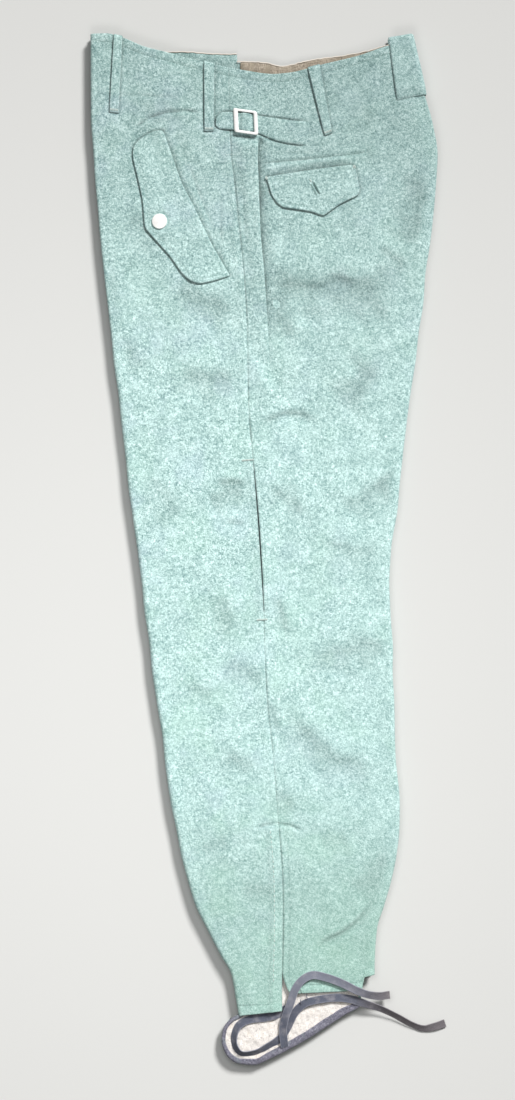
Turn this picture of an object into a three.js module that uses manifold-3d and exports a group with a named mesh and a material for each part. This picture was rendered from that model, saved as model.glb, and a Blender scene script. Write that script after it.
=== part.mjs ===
// Paratrooper trousers in thick wool cloth, lying on their side with one leg on the other.
// Millimetres, +Z up. +Y runs to the waist, -X is the front crease and the fly, +X the seat.
// The left half of the garment lies on top and the right half is its mirror underneath.
import * as THREE from "three";
import Module from "manifold-3d";

const wasm = await Module();
wasm.setup();

// ---- driving sizes -------------------------------------------------------
const CLOTH = 1.8; // wall of the wool cloth
const SEAM = 0.6; // gap at a seam
const REST = 0.3; // gap between a piece and the panel it is sewn on
const PLY_GAP = 0.5; // between the left and the right half
const TOP = 16.2; // top of the stack
const LEG_BASE = 0; // underside of the stack at the legs
const WAIST_BASE = 4.4; // underside of the seat, raised over what is sewn on it
const LEG_MID = 8.1; // where the two halves meet
const WAIST_MID = 10.3;
const RISE_FROM = 142.5; // y where the underside starts to rise
const RISE_TO = 274.5; // and where it is full
const HEM_REF = -495.5; // y of the straight hem before it is shaped
const WAIST_REF = 538.5; // y of the straight waist before it is shaped
const CROTCH = 236; // y of the fork
const FRONT_RISE = 329.5; // y where the front crotch curve meets the fly
const BACK_RISE = 357; // y where the back crotch curve meets the seat seam
const LIP = 12; // width of the turned-in seam edge at the fly and seat
const UNDER_INSET = 1.5; // how far the under leg lies inside the upper one
const UNDER_HEM = -468; // hem of the under leg
const PLEAT = 2; // height of the pressed side pleat
const KNEE_SLIT = { from: -67.5, to: 95, open: 2.4 };
const HEM_SLIT = { from: -463.5, to: -489, open: 8.6 };
const FLAP = 2.2; // two plies, pressed
const LOOP = 2;
const STRAP = 1.6;
const TAPE = { width: 9, thick: 1.2 };
const FACING = 0.9;
const LINING = { thick: 0.8, deep: 45 };

// ---- sections of the folded garment, hem to waist --------------------------
// front: front fold, seam: side seam, back: back fold, all x at that y
const SECTIONS = [
  { y: -495.5, front: -31, seam: 20, back: 122 },
  { y: -468, front: -36, seam: 20, back: 122 },
  { y: -446, front: -48, seam: 20.5, back: 122 },
  { y: -418.5, front: -62, seam: 21, back: 124.5 },
  { y: -391, front: -75.5, seam: 21, back: 133 },
  { y: -363.5, front: -84, seam: 20.5, back: 141 },
  { y: -336, front: -91.5, seam: 19, back: 147 },
  { y: -308.5, front: -97, seam: 16.5, back: 149.5 },
  { y: -281, front: -102.5, seam: 14.5, back: 150 },
  { y: -226, front: -110, seam: 10, back: 145 },
  { y: -171, front: -117.5, seam: 4, back: 143.5 },
  { y: -116, front: -125, seam: 1, back: 142 },
  { y: -61, front: -132, seam: -0.5, back: 138.5 },
  { y: -6, front: -139.5, seam: -3.5, back: 139.5 },
  { y: 49, front: -146.5, seam: -7.5, back: 148 },
  { y: 104, front: -153, seam: -12.5, back: 153 },
  { y: 159, front: -159.5, seam: -17, back: 159.5 },
  { y: 241.5, front: -169.5, seam: -18.5, back: 171.5 },
  { y: 296.5, front: -176, seam: -21.5, back: 177.5 },
  { y: 351.5, front: -181.5, seam: -27, back: 185 },
  { y: 406.5, front: -186, seam: -32.5, back: 190 },
  { y: 434, front: -188, seam: -36, back: 191.5 },
  { y: 467, front: -190, seam: -37.5, back: 186.5 },
  { y: 505.5, front: -190.5, seam: -38.5, back: 176 },
  { y: 538.5, front: -191, seam: -39.5, back: 168 },
  { y: 560.5, front: -191, seam: -40, back: 163 },
];
// waist edges across the garment: the upper half's, and the under half's front and back
const WAIST_NEAR = [
  { x: -190.5, y: 567.5 }, { x: -174, y: 568 }, { x: -157.5, y: 564 },
  { x: -131, y: 553 }, { x: -106.5, y: 547 }, { x: -83.5, y: 540.5 },
  { x: -54, y: 533.5 }, { x: -15.5, y: 526.5 }, { x: 9, y: 523.5 },
  { x: 28.5, y: 525 }, { x: 60.5, y: 533 }, { x: 102.5, y: 543 },
  { x: 134, y: 553.5 }, { x: 167, y: 562.5 },
];
const WAIST_FAR_FRONT = [
  { x: -190.5, y: 567.5 }, { x: -174, y: 568 }, { x: -157.5, y: 564 },
  { x: -131, y: 553 }, { x: -106.5, y: 548.5 }, { x: -83.5, y: 548.5 },
  { x: -59.5, y: 546.5 }, { x: -28.5, y: 546 },
];
const WAIST_FAR_BACK = [
  { x: -31, y: 537 }, { x: -2, y: 536 }, { x: 18.5, y: 532 },
  { x: 45, y: 537 }, { x: 60.5, y: 540 }, { x: 102.5, y: 546 },
  { x: 134, y: 554.5 }, { x: 167, y: 562.5 },
];
const FAR_SEAM_AT_WAIST = -29.5; // x of the under half's side seam at the waist
// hem of the upper leg's outer side, and of its inner side, which hangs lower
const HEM_FRONT = [{ x: -30, y: -513.5 }, { x: 19, y: -508 }];
const HEM_BACK = [
  { x: 27.5, y: -489 }, { x: 50.5, y: -488 }, { x: 97, y: -486 },
  { x: 107.5, y: -484.5 }, { x: 110.5, y: -471 }, { x: 122, y: -468.5 },
];
// t runs from the fold (0) to the inseam (1)
const HEM_INNER_FRONT = [
  { t: 0, x: -29.5, y: -510 }, { t: 0.12, x: -38, y: -517.6 },
  { t: 0.24, x: -44.6, y: -528.5 }, { t: 0.38, x: -45.9, y: -541 },
  { t: 0.54, x: -41, y: -555.2 }, { t: 0.7, x: -27.4, y: -565.4 },
  { t: 0.82, x: -11, y: -566.8 }, { t: 0.91, x: 6, y: -561 }, { t: 1, x: 21, y: -553.4 },
];
const HEM_INNER_BACK = [
  { t: 0, x: 119.5, y: -468.5 }, { t: 0.1, x: 108.5, y: -471.5 },
  { t: 0.22, x: 106.5, y: -485 }, { t: 0.34, x: 107, y: -496.5 },
  { t: 0.46, x: 92, y: -509 }, { t: 0.64, x: 72.5, y: -522.8 },
  { t: 0.82, x: 47.5, y: -539 }, { t: 1, x: 21.4, y: -553.4 },
];
// the largest folds, as soft troughs in the outer face: a line of points, depth and
// half width. The inner face stays level, so the hollow of the leg keeps its height.
const FOLDS = [
  { line: [[4, 300], [48, 296], [98, 294], [122, 296]], depth: 0.7, half: 11 },
  { line: [[128, 212], [108, 180], [84, 146]], depth: 0.6, half: 15 },
  { line: [[28, -200], [56, -224], [96, -249]], depth: 0.7, half: 13 },
  { line: [[-100, 286], [-72, 268], [-38, 254]], depth: 0.5, half: 13 },
];
// the pressed pleat behind the side seam: off is its edge's distance from the seam, high its height as a share of PLEAT
const SIDE_PLEAT = [
  { y: -560, off: 23, high: 0 }, { y: 200, off: 23, high: 0 },
  { y: 225, off: 23, high: 0.1 }, { y: 276.5, off: 21, high: 0.5 },
  { y: 329.5, off: 22.5, high: 0.9 }, { y: 384.5, off: 25, high: 1 },
  { y: 438, off: 29.5, high: 1 }, { y: 450, off: 30.5, high: 0 },
  { y: 570, off: 31, high: 0 },
];
const ROWS = [
  -495.5, -484.5, -468, -446, -418.5, -391, -350, -308.5, -262, -240, -218,
  -171, -116, -67.5, 14, 95, 142.5, 175, 205, 236, 258, 274.5, 286, 297, 309,
  329.5, 357, 400, 438, 450, 480, 510, 538.5,
];
const UPPER_ROWS = [-484.5, -262, -218]; // only the upper half needs these
const OUTER_FRONT = [0, 0.2, 0.42, 0.64, 0.84, 1]; // shares from the seam to the fold
const OUTER_BACK = [0, 0.3, 0.6, 0.84, 1]; // shares from the pleat to the fold
const FOLD_ANGLES = [54, 18, -18, -54];
const INNER = [0, 0.12, 0.24, 0.38, 0.54, 0.72, 0.86, 1]; // shares from the fold to the inner edge
const INNER_UNDER = [0, 0.36, 0.75, 1];

// ---- small helpers ---------------------------------------------------------
const clamp = (v) => Math.min(1, Math.max(0, v));
const smooth = (v) => ((v = clamp(v)), v * v * (3 - 2 * v));
const lerp = (a, b, t) => a + (b - a) * t;

// Monotone cubic through a table's rows: value of column `key` where column `by` is `at`.
function along(table, by, key, at) {
  const n = table.length;
  const s = [];
  for (let i = 0; i < n - 1; i++)
    s.push((table[i + 1][key] - table[i][key]) / (table[i + 1][by] - table[i][by]));
  if (at <= table[0][by]) return table[0][key] + s[0] * (at - table[0][by]);
  if (at >= table[n - 1][by]) return table[n - 1][key] + s[n - 2] * (at - table[n - 1][by]);
  let k = 0;
  while (at > table[k + 1][by]) k++;
  const slope = (i) =>
    i === 0 ? s[0] : i === n - 1 ? s[n - 2] : s[i - 1] * s[i] <= 0 ? 0 : (2 * s[i - 1] * s[i]) / (s[i - 1] + s[i]);
  const h = table[k + 1][by] - table[k][by];
  const t = (at - table[k][by]) / h;
  const a = table[k][key], b = table[k + 1][key];
  return (
    a * (1 + 2 * t) * (1 - t) ** 2 + slope(k) * h * t * (1 - t) ** 2 +
    b * t * t * (3 - 2 * t) + slope(k + 1) * h * t * t * (t - 1)
  );
}

const rise = (y) => smooth((y - RISE_FROM) / (RISE_TO - RISE_FROM));
const baseAt = (y) => lerp(LEG_BASE, WAIST_BASE, rise(y));
const midAt = (y) => lerp(LEG_MID, WAIST_MID, rise(y));

// How far the outer face sinks into the folds at a point.
function foldDepth(x, y) {
  let sum = 0;
  for (const { line, depth, half } of FOLDS) {
    const steps = line.slice(1).map(([bx, by], k) => [line[k][0], line[k][1], bx - line[k][0], by - line[k][1]]);
    const total = steps.reduce((a, [, , dx, dy]) => a + Math.hypot(dx, dy), 0);
    let best = Infinity, share = 0, run = 0;
    for (const [ax, ay, dx, dy] of steps) {
      const length = Math.hypot(dx, dy);
      const t = clamp(((x - ax) * dx + (y - ay) * dy) / length ** 2);
      const d = Math.hypot(x - ax - t * dx, y - ay - t * dy);
      if (d < best) (best = d), (share = (run + t * length) / total);
      run += length;
    }
    sum += depth * Math.exp(-((best / half) ** 2)) * smooth(share / 0.25) * smooth((1 - share) / 0.25);
  }
  return sum;
}

// A closed wall of the given thickness on a grid of points, rows by columns.
// A point's `thin` is taken off the thickness there.
function wall(points, thickness) {
  const m = points.length, n = points[0].length;
  const at = (i, j) => points[Math.min(m - 1, Math.max(0, i))][Math.min(n - 1, Math.max(0, j))];
  const pos = [], index = [];
  for (const side of [1, -1])
    for (let i = 0; i < m; i++)
      for (let j = 0; j < n; j++) {
        const du = at(i, j + 1).clone().sub(at(i, j - 1));
        const dv = at(i + 1, j).clone().sub(at(i - 1, j));
        const nrm = du.cross(dv).normalize().multiplyScalar((side * (thickness - (at(i, j).thin ?? 0))) / 2);
        const p = at(i, j).clone().add(nrm);
        pos.push(p.x, p.y, p.z);
      }
  const id = (s, i, j) => (s ? m * n : 0) + i * n + j;
  const quad = (a, b, c, d) => index.push(a, b, c, a, c, d);
  for (let i = 0; i < m - 1; i++)
    for (let j = 0; j < n - 1; j++) {
      quad(id(0, i, j), id(0, i, j + 1), id(0, i + 1, j + 1), id(0, i + 1, j));
      quad(id(1, i, j), id(1, i + 1, j), id(1, i + 1, j + 1), id(1, i, j + 1));
    }
  for (let j = 0; j < n - 1; j++) {
    quad(id(0, 0, j), id(1, 0, j), id(1, 0, j + 1), id(0, 0, j + 1));
    quad(id(0, m - 1, j), id(0, m - 1, j + 1), id(1, m - 1, j + 1), id(1, m - 1, j));
  }
  for (let i = 0; i < m - 1; i++) {
    quad(id(0, i, 0), id(0, i + 1, 0), id(1, i + 1, 0), id(1, i, 0));
    quad(id(0, i, n - 1), id(1, i, n - 1), id(1, i + 1, n - 1), id(0, i + 1, n - 1));
  }
  return faceOut(pos, index);
}

// Indexed geometry with its faces turned outwards.
function faceOut(pos, index) {
  let volume = 0;
  const v = (k) => new THREE.Vector3(pos[3 * k], pos[3 * k + 1], pos[3 * k + 2]);
  for (let k = 0; k < index.length; k += 3)
    volume += v(index[k]).dot(v(index[k + 1]).cross(v(index[k + 2])));
  if (volume < 0)
    for (let k = 0; k < index.length; k += 3) [index[k + 1], index[k + 2]] = [index[k + 2], index[k + 1]];
  const g = new THREE.BufferGeometry();
  g.setAttribute("position", new THREE.BufferAttribute(new Float32Array(pos), 3));
  g.setIndex(index);
  return g;
}

// ---- the four panels --------------------------------------------------------
// Each panel runs from the side seam over the outside, round its crease and back
// along the inside of the leg to the inseam. Above the fork the inside ends in the
// crotch curve, then in a narrow turned-in edge along the fly or the seat seam.
function seamEdge(y, front, upper) {
  let x = along(SECTIONS, "y", "seam", y) + (front ? -SEAM / 2 : SEAM / 2);
  const k = (y - KNEE_SLIT.from) / (KNEE_SLIT.to - KNEE_SLIT.from);
  if (k > 0 && k < 1) x += (front ? -0.5 : 0.5) * KNEE_SLIT.open * Math.sin(Math.PI * k);
  if (!upper) x += smooth((y - 400) / 140) * (FAR_SEAM_AT_WAIST - along(SECTIONS, "y", "seam", WAIST_REF));
  if (upper && !front) x += HEM_SLIT.open * clamp((HEM_SLIT.from - y) / (HEM_SLIT.from - HEM_SLIT.to));
  return x;
}

function foldEdge(y, front, upper) {
  const inset = upper ? 0 : UNDER_INSET * smooth((440 - y) / 60);
  return front ? along(SECTIONS, "y", "front", y) + inset : along(SECTIONS, "y", "back", y) - inset;
}

function shapedY(yr, x, front, upper) {
  const waist = upper ? WAIST_NEAR : front ? WAIST_FAR_FRONT : WAIST_FAR_BACK;
  const hem = front ? HEM_FRONT : HEM_BACK;
  const up = smooth((yr - 400) / (WAIST_REF - 400));
  const down = smooth((-418.5 - yr) / (-418.5 - HEM_REF));
  const hemY = upper ? along(hem, "x", "y", x) : UNDER_HEM;
  return yr + up * (along(waist, "x", "y", x) - WAIST_REF) + down * (hemY - HEM_REF);
}

function panel(front, upper) {
  const out = upper ? 1 : -1;
  const dir = front ? 1 : -1; // from the fold inwards
  const rows = [];
  for (const yr of ROWS.filter((y) => upper || !UPPER_ROWS.includes(y))) {
    const edgeY = shapedY(yr, foldEdge(yr, front, upper), front, upper);
    const zo = upper ? TOP - CLOTH / 2 : baseAt(yr) + CLOTH / 2;
    const zi = midAt(yr) + out * (PLY_GAP / 2 + CLOTH / 2);
    const r = Math.abs(zo - zi) / 2;
    const zc = (zo + zi) / 2;
    const row = [];
    // the outer side, seam to fold
    const outer = (x0of, x1of, lift) => {
      let y = yr, x = 0;
      for (let pass = 0; pass < 3; pass++) {
        x = lerp(x0of(y), x1of(y), lift.share);
        y = shapedY(yr, x, front, upper);
      }
      const sink = foldDepth(x, y) * (upper ? 1 : rise(y)); // the under leg lies flat
      const point = new THREE.Vector3(x, y, zo + out * (PLEAT * lift.high - sink / 2));
      point.thin = sink;
      row.push(point);
    };
    const foldStart = (y) => foldEdge(y, front, upper) + dir * (CLOTH / 2 + r);
    const seam = (y) => seamEdge(y, front, upper);
    if (front) for (const share of OUTER_FRONT) outer(seam, foldStart, { share, high: 0 });
    else {
      const high = along(SIDE_PLEAT, "y", "high", yr);
      const pleat = (y) => along(SECTIONS, "y", "seam", y) + along(SIDE_PLEAT, "y", "off", yr);
      outer(seam, pleat, { share: 0, high: 0 });
      outer(seam, (y) => pleat(y) - 0.9, { share: 1, high });
      for (const share of OUTER_BACK) outer((y) => pleat(y) + 0.9, foldStart, { share, high: 0 });
    }
    // the crease
    const down = upper ? smooth((-440 - yr) / (-440 - HEM_REF)) : 0;
    const ring = foldEdge(edgeY, front, upper);
    for (const deg of FOLD_ANGLES) {
      const a = (deg * Math.PI) / 180;
      row.push(new THREE.Vector3(ring + dir * (CLOTH / 2 + r - r * Math.cos(a)), edgeY, zc + out * r * Math.sin(a)));
    }
    // the inner side, fold to inseam, crotch curve or turned-in edge
    const x0 = ring + dir * (CLOTH / 2 + r);
    const inseam = along(SECTIONS, "y", "seam", yr) - (dir * SEAM) / 2;
    const lip = x0 + dir * LIP;
    const climb = clamp((yr - CROTCH) / ((front ? FRONT_RISE : BACK_RISE) - CROTCH));
    const x1 = lip + (inseam - lip) * (1 - climb) ** 2;
    const hemTable = front ? HEM_INNER_FRONT : HEM_INNER_BACK;
    for (const t of upper ? INNER : INNER_UNDER) {
      let x = lerp(x0, x1, t);
      let y = upper ? lerp(edgeY, yr + smooth((yr - 400) / (WAIST_REF - 400)) * (edgeY - yr), t) : shapedY(yr, x, front, upper);
      if (down > 0) {
        x = lerp(x, along(hemTable, "t", "x", t) + (t === 0 ? dir * (CLOTH / 2) : 0), down);
        y = lerp(y, along(hemTable, "t", "y", t), down);
      }
      row.push(new THREE.Vector3(x, y, zi));
    }
    rows.push(row);
  }
  return wall(rows, CLOTH);
}

// ---- pieces sewn on ----------------------------------------------------------
// A plate on the outside of the garment, from `near` to `far` above its surface.
function plate(outline, near, far, upper) {
  const shape = new THREE.Shape(outline.map(([x, y]) => new THREE.Vector2(x, y)));
  const g = new THREE.ExtrudeGeometry(shape, { depth: far - near, bevelEnabled: false });
  g.translate(0, 0, upper ? TOP + near : WAIST_BASE - far);
  return g;
}

// Corners of an outline rounded by `r`, three points each.
function rounded(outline, r) {
  const made = [];
  const n = outline.length;
  for (let i = 0; i < n; i++) {
    const p = new THREE.Vector2(...outline[i]);
    const a = new THREE.Vector2(...outline[(i + n - 1) % n]).sub(p);
    const b = new THREE.Vector2(...outline[(i + 1) % n]).sub(p);
    const cut = Math.min(r, a.length() * 0.45, b.length() * 0.45);
    const pa = p.clone().addScaledVector(a.normalize(), cut);
    const pb = p.clone().addScaledVector(b.normalize(), cut);
    const pm = pa.clone().add(pb).multiplyScalar(0.25).addScaledVector(p, 0.5);
    made.push([pa.x, pa.y], [pm.x, pm.y], [pb.x, pb.y]);
  }
  return made;
}

const FRONT_FLAP = [
  [-111, 461.5], [-120, 461], [-128.5, 457.5], [-138.5, 450.5], [-144.5, 443],
  [-145, 432], [-138.5, 405.5], [-134, 384.5], [-131.5, 353.5], [-117.5, 338],
  [-102, 320.5], [-91, 304], [-82, 295.5], [-70.5, 292], [-54, 295.5],
  [-37.5, 301], [-39.5, 305], [-57, 335], [-73.5, 370], [-91, 404.5],
];
const BACK_FLAP = [
  [2, 410], [8, 390], [14, 381], [21, 376], [51.5, 371.5], [65.5, 366.5],
  [83.5, 379.5], [103.5, 389], [106, 395.5], [101, 419], [96.5, 423.5], [42, 416.5],
];
const LOOPS = {
  front: [[-165.5, 566], [-155.5, 564], [-159.5, 479.5], [-170.5, 481]],
  side: [[-66.5, 537.5], [-54, 534], [-55, 460], [-66, 460]],
  back: [[47.5, 529.5], [61.5, 533], [75.5, 458], [66.5, 454.5]],
};
const SNAP = { x: -115, y: 361, r: 8.6, high: 1.5 };
// the strap from its sewn end (right) to its tip: y of both edges and rise over the buckle's bar
const STRAP_ROWS = [
  { x: 50.5, low: 444, top: 470.5, lift: 0 }, { x: 31, low: 446, top: 472.5, lift: 0 },
  { x: 13, low: 450, top: 475, lift: 0 }, { x: -6, low: 457.9, top: 477.6, lift: 0 },
  { x: -13, low: 459.2, top: 479, lift: 0 }, { x: -17.6, low: 459.8, top: 480, lift: 2 },
  { x: -23.4, low: 460.6, top: 480.6, lift: 2 }, { x: -28, low: 461.3, top: 481, lift: 0 },
  { x: -42, low: 462, top: 481.8, lift: 0 }, { x: -49.5, low: 464, top: 479.8, lift: 0 },
  { x: -53.5, low: 468.5, top: 474.5, lift: 0 },
];
const BUCKLE = { x: -20.5, y: 470, wide: 25, tall: 27, side: 4, end: 2, bar: 3, thick: 2, tilt: -7 };

function strap(upper) {
  const lean = -Math.tan((BUCKLE.tilt * Math.PI) / 180); // its rows lie along the buckle's bars
  const rows = STRAP_ROWS.map((s) => {
    const z = REST + STRAP / 2 + s.lift;
    return [0, 0.5, 1].map((t) => {
      const y = lerp(s.low, s.top, t);
      return new THREE.Vector3(s.x + lean * (y - BUCKLE.y), y, upper ? TOP + z : WAIST_BASE - z);
    });
  });
  return wall(rows, STRAP);
}

const solid = (g) => {
  const p = g.index ? g.toNonIndexed() : g.clone();
  const v = p.getAttribute("position").array;
  const key = new Map(), verts = [], tris = [];
  for (let i = 0; i < v.length; i += 3) {
    const k = [v[i], v[i + 1], v[i + 2]].map((c) => c.toFixed(4)).join(",");
    if (!key.has(k)) key.set(k, key.size), verts.push(v[i], v[i + 1], v[i + 2]);
    tris.push(key.get(k));
  }
  return new wasm.Manifold(
    new wasm.Mesh({ numProp: 3, vertProperties: new Float32Array(verts), triVerts: new Uint32Array(tris) }),
  );
};
const geometry = (s) => {
  const m = s.getMesh();
  const g = new THREE.BufferGeometry();
  g.setAttribute("position", new THREE.BufferAttribute(new Float32Array(m.vertProperties), 3));
  g.setIndex(new THREE.BufferAttribute(new Uint32Array(m.triVerts), 1));
  return g;
};
const block = (x0, x1, y0, y1, z0, z1) =>
  new THREE.BoxGeometry(x1 - x0, y1 - y0, z1 - z0).translate((x0 + x1) / 2, (y0 + y1) / 2, (z0 + z1) / 2);

// A slide buckle: a frame over the strap and a middle bar under it.
function buckle(upper) {
  const { wide: w, tall: h, side, end, bar, thick } = BUCKLE;
  const over = REST + STRAP + REST; // underside of the side bars
  const top = over + thick;
  const parts = [
    block(-w / 2, -w / 2 + side, -h / 2, h / 2, over, top),
    block(w / 2 - side, w / 2, -h / 2, h / 2, over, top),
    block(-w / 2, w / 2, h / 2 - end, h / 2, REST, top),
    block(-w / 2, w / 2, -h / 2, -h / 2 + end, REST, top),
    block(-bar / 2, bar / 2, -h / 2, h / 2, REST, REST + 1.6),
  ].map(solid);
  const g = geometry(parts.reduce((a, b) => a.add(b)));
  g.rotateZ((BUCKLE.tilt * Math.PI) / 180);
  if (!upper) g.rotateX(Math.PI), g.rotateZ((2 * BUCKLE.tilt * Math.PI) / 180);
  g.translate(BUCKLE.x, BUCKLE.y, upper ? TOP : WAIST_BASE);
  return g;
}

// A press stud's cap: a low dome on the flap.
function snap(upper) {
  const { x, y, r, high } = SNAP;
  const foot = REST + FLAP + REST;
  const profile = [
    [0, foot], [r, foot], [r, foot + high * 0.3], [r * 0.9, foot + high * 0.62], [r * 0.55, foot + high * 0.9], [0, foot + high],
  ].map(([a, b]) => new THREE.Vector2(a, b));
  const g = new THREE.LatheGeometry(profile, 24);
  g.rotateX(upper ? Math.PI / 2 : -Math.PI / 2);
  g.translate(x, y, upper ? TOP : WAIST_BASE);
  return geometry(solid(g));
}

// The wide loop at the middle of the back, wrapped round the seat fold.
const BACK_LOOP = { top: 562, low: 493.5, inTop: 136.5, inLow: 146, slope: 0.2, stations: 5 };
function backLoop() {
  const c = REST + 0.1, t = LOOP;
  const stations = [];
  for (let k = 0; k < BACK_LOOP.stations; k++) {
    const s = k / (BACK_LOOP.stations - 1);
    const xIn = lerp(BACK_LOOP.inTop, BACK_LOOP.inLow, s);
    const y0 = lerp(BACK_LOOP.top, BACK_LOOP.low, s);
    let fold = 170;
    for (let i = 0; i < 4; i++) fold = foldEdge(y0 + BACK_LOOP.slope * (fold - xIn), false, true);
    const hi = TOP, lo = WAIST_BASE, x = fold + 0.8;
    const inner = [
      [xIn, hi + c], [x - 2.6, hi + c], [x - 0.9, hi - 0.6], [x, hi - 2.6],
      [x, lo + 2.6], [x - 0.9, lo + 0.6], [x - 2.6, lo - c], [xIn, lo - c],
    ];
    const outer = [
      [xIn, hi + c + t], [x - 2.2, hi + c + t], [x + 0.8, hi + 0.9], [x + t, hi - 2.2],
      [x + t, lo + 2.2], [x + 0.8, lo - 0.9], [x - 2.2, lo - c - t], [xIn, lo - c - t],
    ];
    stations.push([...inner, ...outer.reverse()].map(([px, z]) => [px, y0 + BACK_LOOP.slope * (px - xIn), z]));
  }
  return loft(stations);
}

// A closed loft of rings with the same number of points, its ends capped by strips.
function loft(stations) {
  const n = stations[0].length, m = stations.length;
  const pos = stations.flat(2), index = [];
  for (let i = 0; i < m - 1; i++)
    for (let j = 0; j < n; j++) {
      const a = i * n + j, b = i * n + ((j + 1) % n), c = (i + 1) * n + ((j + 1) % n), d = (i + 1) * n + j;
      index.push(a, b, c, a, c, d);
    }
  const cap = (base, flip) => {
    for (let j = 0; j < n / 2 - 1; j++) {
      const a = base + j, b = base + j + 1, c = base + n - 2 - j, d = base + n - 1 - j;
      index.push(...(flip ? [a, c, b, a, d, c] : [a, b, c, a, c, d]));
    }
  };
  cap(0, true);
  cap((m - 1) * n, false);
  return faceOut(pos, index);
}

// ---- waist lining, hem facing and ankle tapes --------------------------------
function waistLining() {
  const z = WAIST_BASE + CLOTH + REST + LINING.thick / 2;
  const rows = [];
  for (let i = 0; i <= 12; i++) {
    const x = lerp(-26, 150, i / 12);
    const top = along(WAIST_FAR_BACK, "x", "y", x) + 0.8;
    rows.push([top, top - LINING.deep / 2, top - LINING.deep].map((y) => new THREE.Vector3(x, y, z)));
  }
  return wall(rows, LINING.thick);
}

const HEM_FACING = [
  [-20, -457], [-20, -513.5], [-28, -517.5], [-36, -520.5], [-42.6, -529], [-43.8, -541], [-38.6, -554.6],
  [-25.6, -563], [-10, -563.6], [6, -557.6], [28, -547], [51, -534], [72.5, -519.8],
  [88, -509], [99, -501], [104, -494], [104.5, -457],
];
const INNER_TOP = LEG_MID + PLY_GAP / 2 + CLOTH;
function hemFacing() {
  const shape = new THREE.Shape(HEM_FACING.map(([x, y]) => new THREE.Vector2(x, y)));
  return new THREE.ExtrudeGeometry(shape, { depth: FACING, bevelEnabled: false }).translate(0, 0, INNER_TOP + REST);
}

// Tape routes: z is the middle of the tape.
const ON_FACING = 12.4;
const ON_TAPE = 14;
const ON_CLOTH = 17.2;
const LONG_TAPE = [
  { x: 25, y: -505, z: ON_FACING },
  { x: 14.5, y: -512, z: ON_FACING }, { x: 1, y: -515.5, z: ON_FACING },
  { x: -15.5, y: -517.5, z: ON_FACING }, { x: -26.5, y: -523, z: ON_FACING },
  { x: -32, y: -533, z: ON_FACING }, { x: -32, y: -545, z: ON_FACING },
  { x: -25.5, y: -554, z: ON_FACING }, { x: -10, y: -553, z: ON_FACING },
  { x: 6.5, y: -545, z: ON_FACING }, { x: 18.5, y: -537.5, z: ON_FACING },
  { x: 26.5, y: -525, z: ON_FACING }, { x: 34, y: -510, z: ON_FACING },
  { x: 45, y: -500, z: ON_FACING }, { x: 61.5, y: -495.5, z: ON_FACING },
  { x: 81.5, y: -493.5, z: ON_FACING }, { x: 97, y: -495.5, z: ON_FACING },
  { x: 106, y: -498.3, z: 12.1 }, { x: 115, y: -501.3, z: 11 },
  { x: 127.5, y: -505.5, z: 8.2 }, { x: 145, y: -514, z: 4.2 },
  { x: 163, y: -524, z: 1.6 }, { x: 176, y: -528.5, z: 0.8 },
  { x: 189, y: -526.5, z: 0.8 }, { x: 200, y: -523, z: 0.8 },
];
const SHORT_TAPE = [
  { x: 23, y: -548.5, z: 12.9 }, { x: 22.2, y: -543, z: ON_TAPE },
  { x: 21.5, y: -537.5, z: ON_TAPE + 0.1 }, { x: 21, y: -526.5, z: ON_TAPE + 0.3 },
  { x: 24, y: -513, z: 15.8 },
  { x: 29.5, y: -498, z: ON_CLOTH }, { x: 34, y: -484.5, z: ON_CLOTH },
  { x: 42, y: -473.5, z: ON_CLOTH }, { x: 53, y: -468, z: ON_CLOTH },
  { x: 68, y: -470.5, z: ON_CLOTH }, { x: 86, y: -477, z: ON_CLOTH },
  { x: 101, y: -484.5, z: ON_CLOTH + 0.1 }, { x: 108, y: -487.3, z: ON_CLOTH },
  { x: 114.5, y: -489.5, z: 16 },
  { x: 127.5, y: -491.5, z: 12.2 }, { x: 138.5, y: -490.5, z: 9.4 },
];
function tape(route, steps) {
  const curve = new THREE.CatmullRomCurve3(route.map((p) => new THREE.Vector3(p.x, p.y, p.z)), false, "centripetal");
  const w = TAPE.width / 2, h = TAPE.thick / 2;
  const section = [[-w, -h / 2], [-w + h, -h], [w - h, -h], [w, -h / 2], [w, h / 2], [w - h, h], [-w + h, h], [-w, h / 2]];
  const stations = curve.getSpacedPoints(steps).map((p, i) => {
    const tangent = curve.getTangentAt(i / steps);
    const across = new THREE.Vector3(-tangent.y, tangent.x, 0).normalize();
    const up = tangent.clone().cross(across).normalize();
    return section.map(([a, b]) => p.clone().addScaledVector(across, a).addScaledVector(up, b).toArray());
  });
  return loft(stations);
}

// ---- the scene graph ----------------------------------------------------------
const WOOL = { color: 0xaecac4, roughness: 0.95, metalness: 0 };
const WOOL_UNDER = { color: 0x9db9b3, roughness: 0.95, metalness: 0 };
const COTTON = { color: 0xe6e2dc, roughness: 0.9, metalness: 0 };
const BEIGE = { color: 0xb3a894, roughness: 0.9, metalness: 0 };
const GREY = { color: 0x5f6470, roughness: 0.9, metalness: 0 };
const METAL = { color: 0xe8e6e2, roughness: 0.35, metalness: 0.9 };

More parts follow.
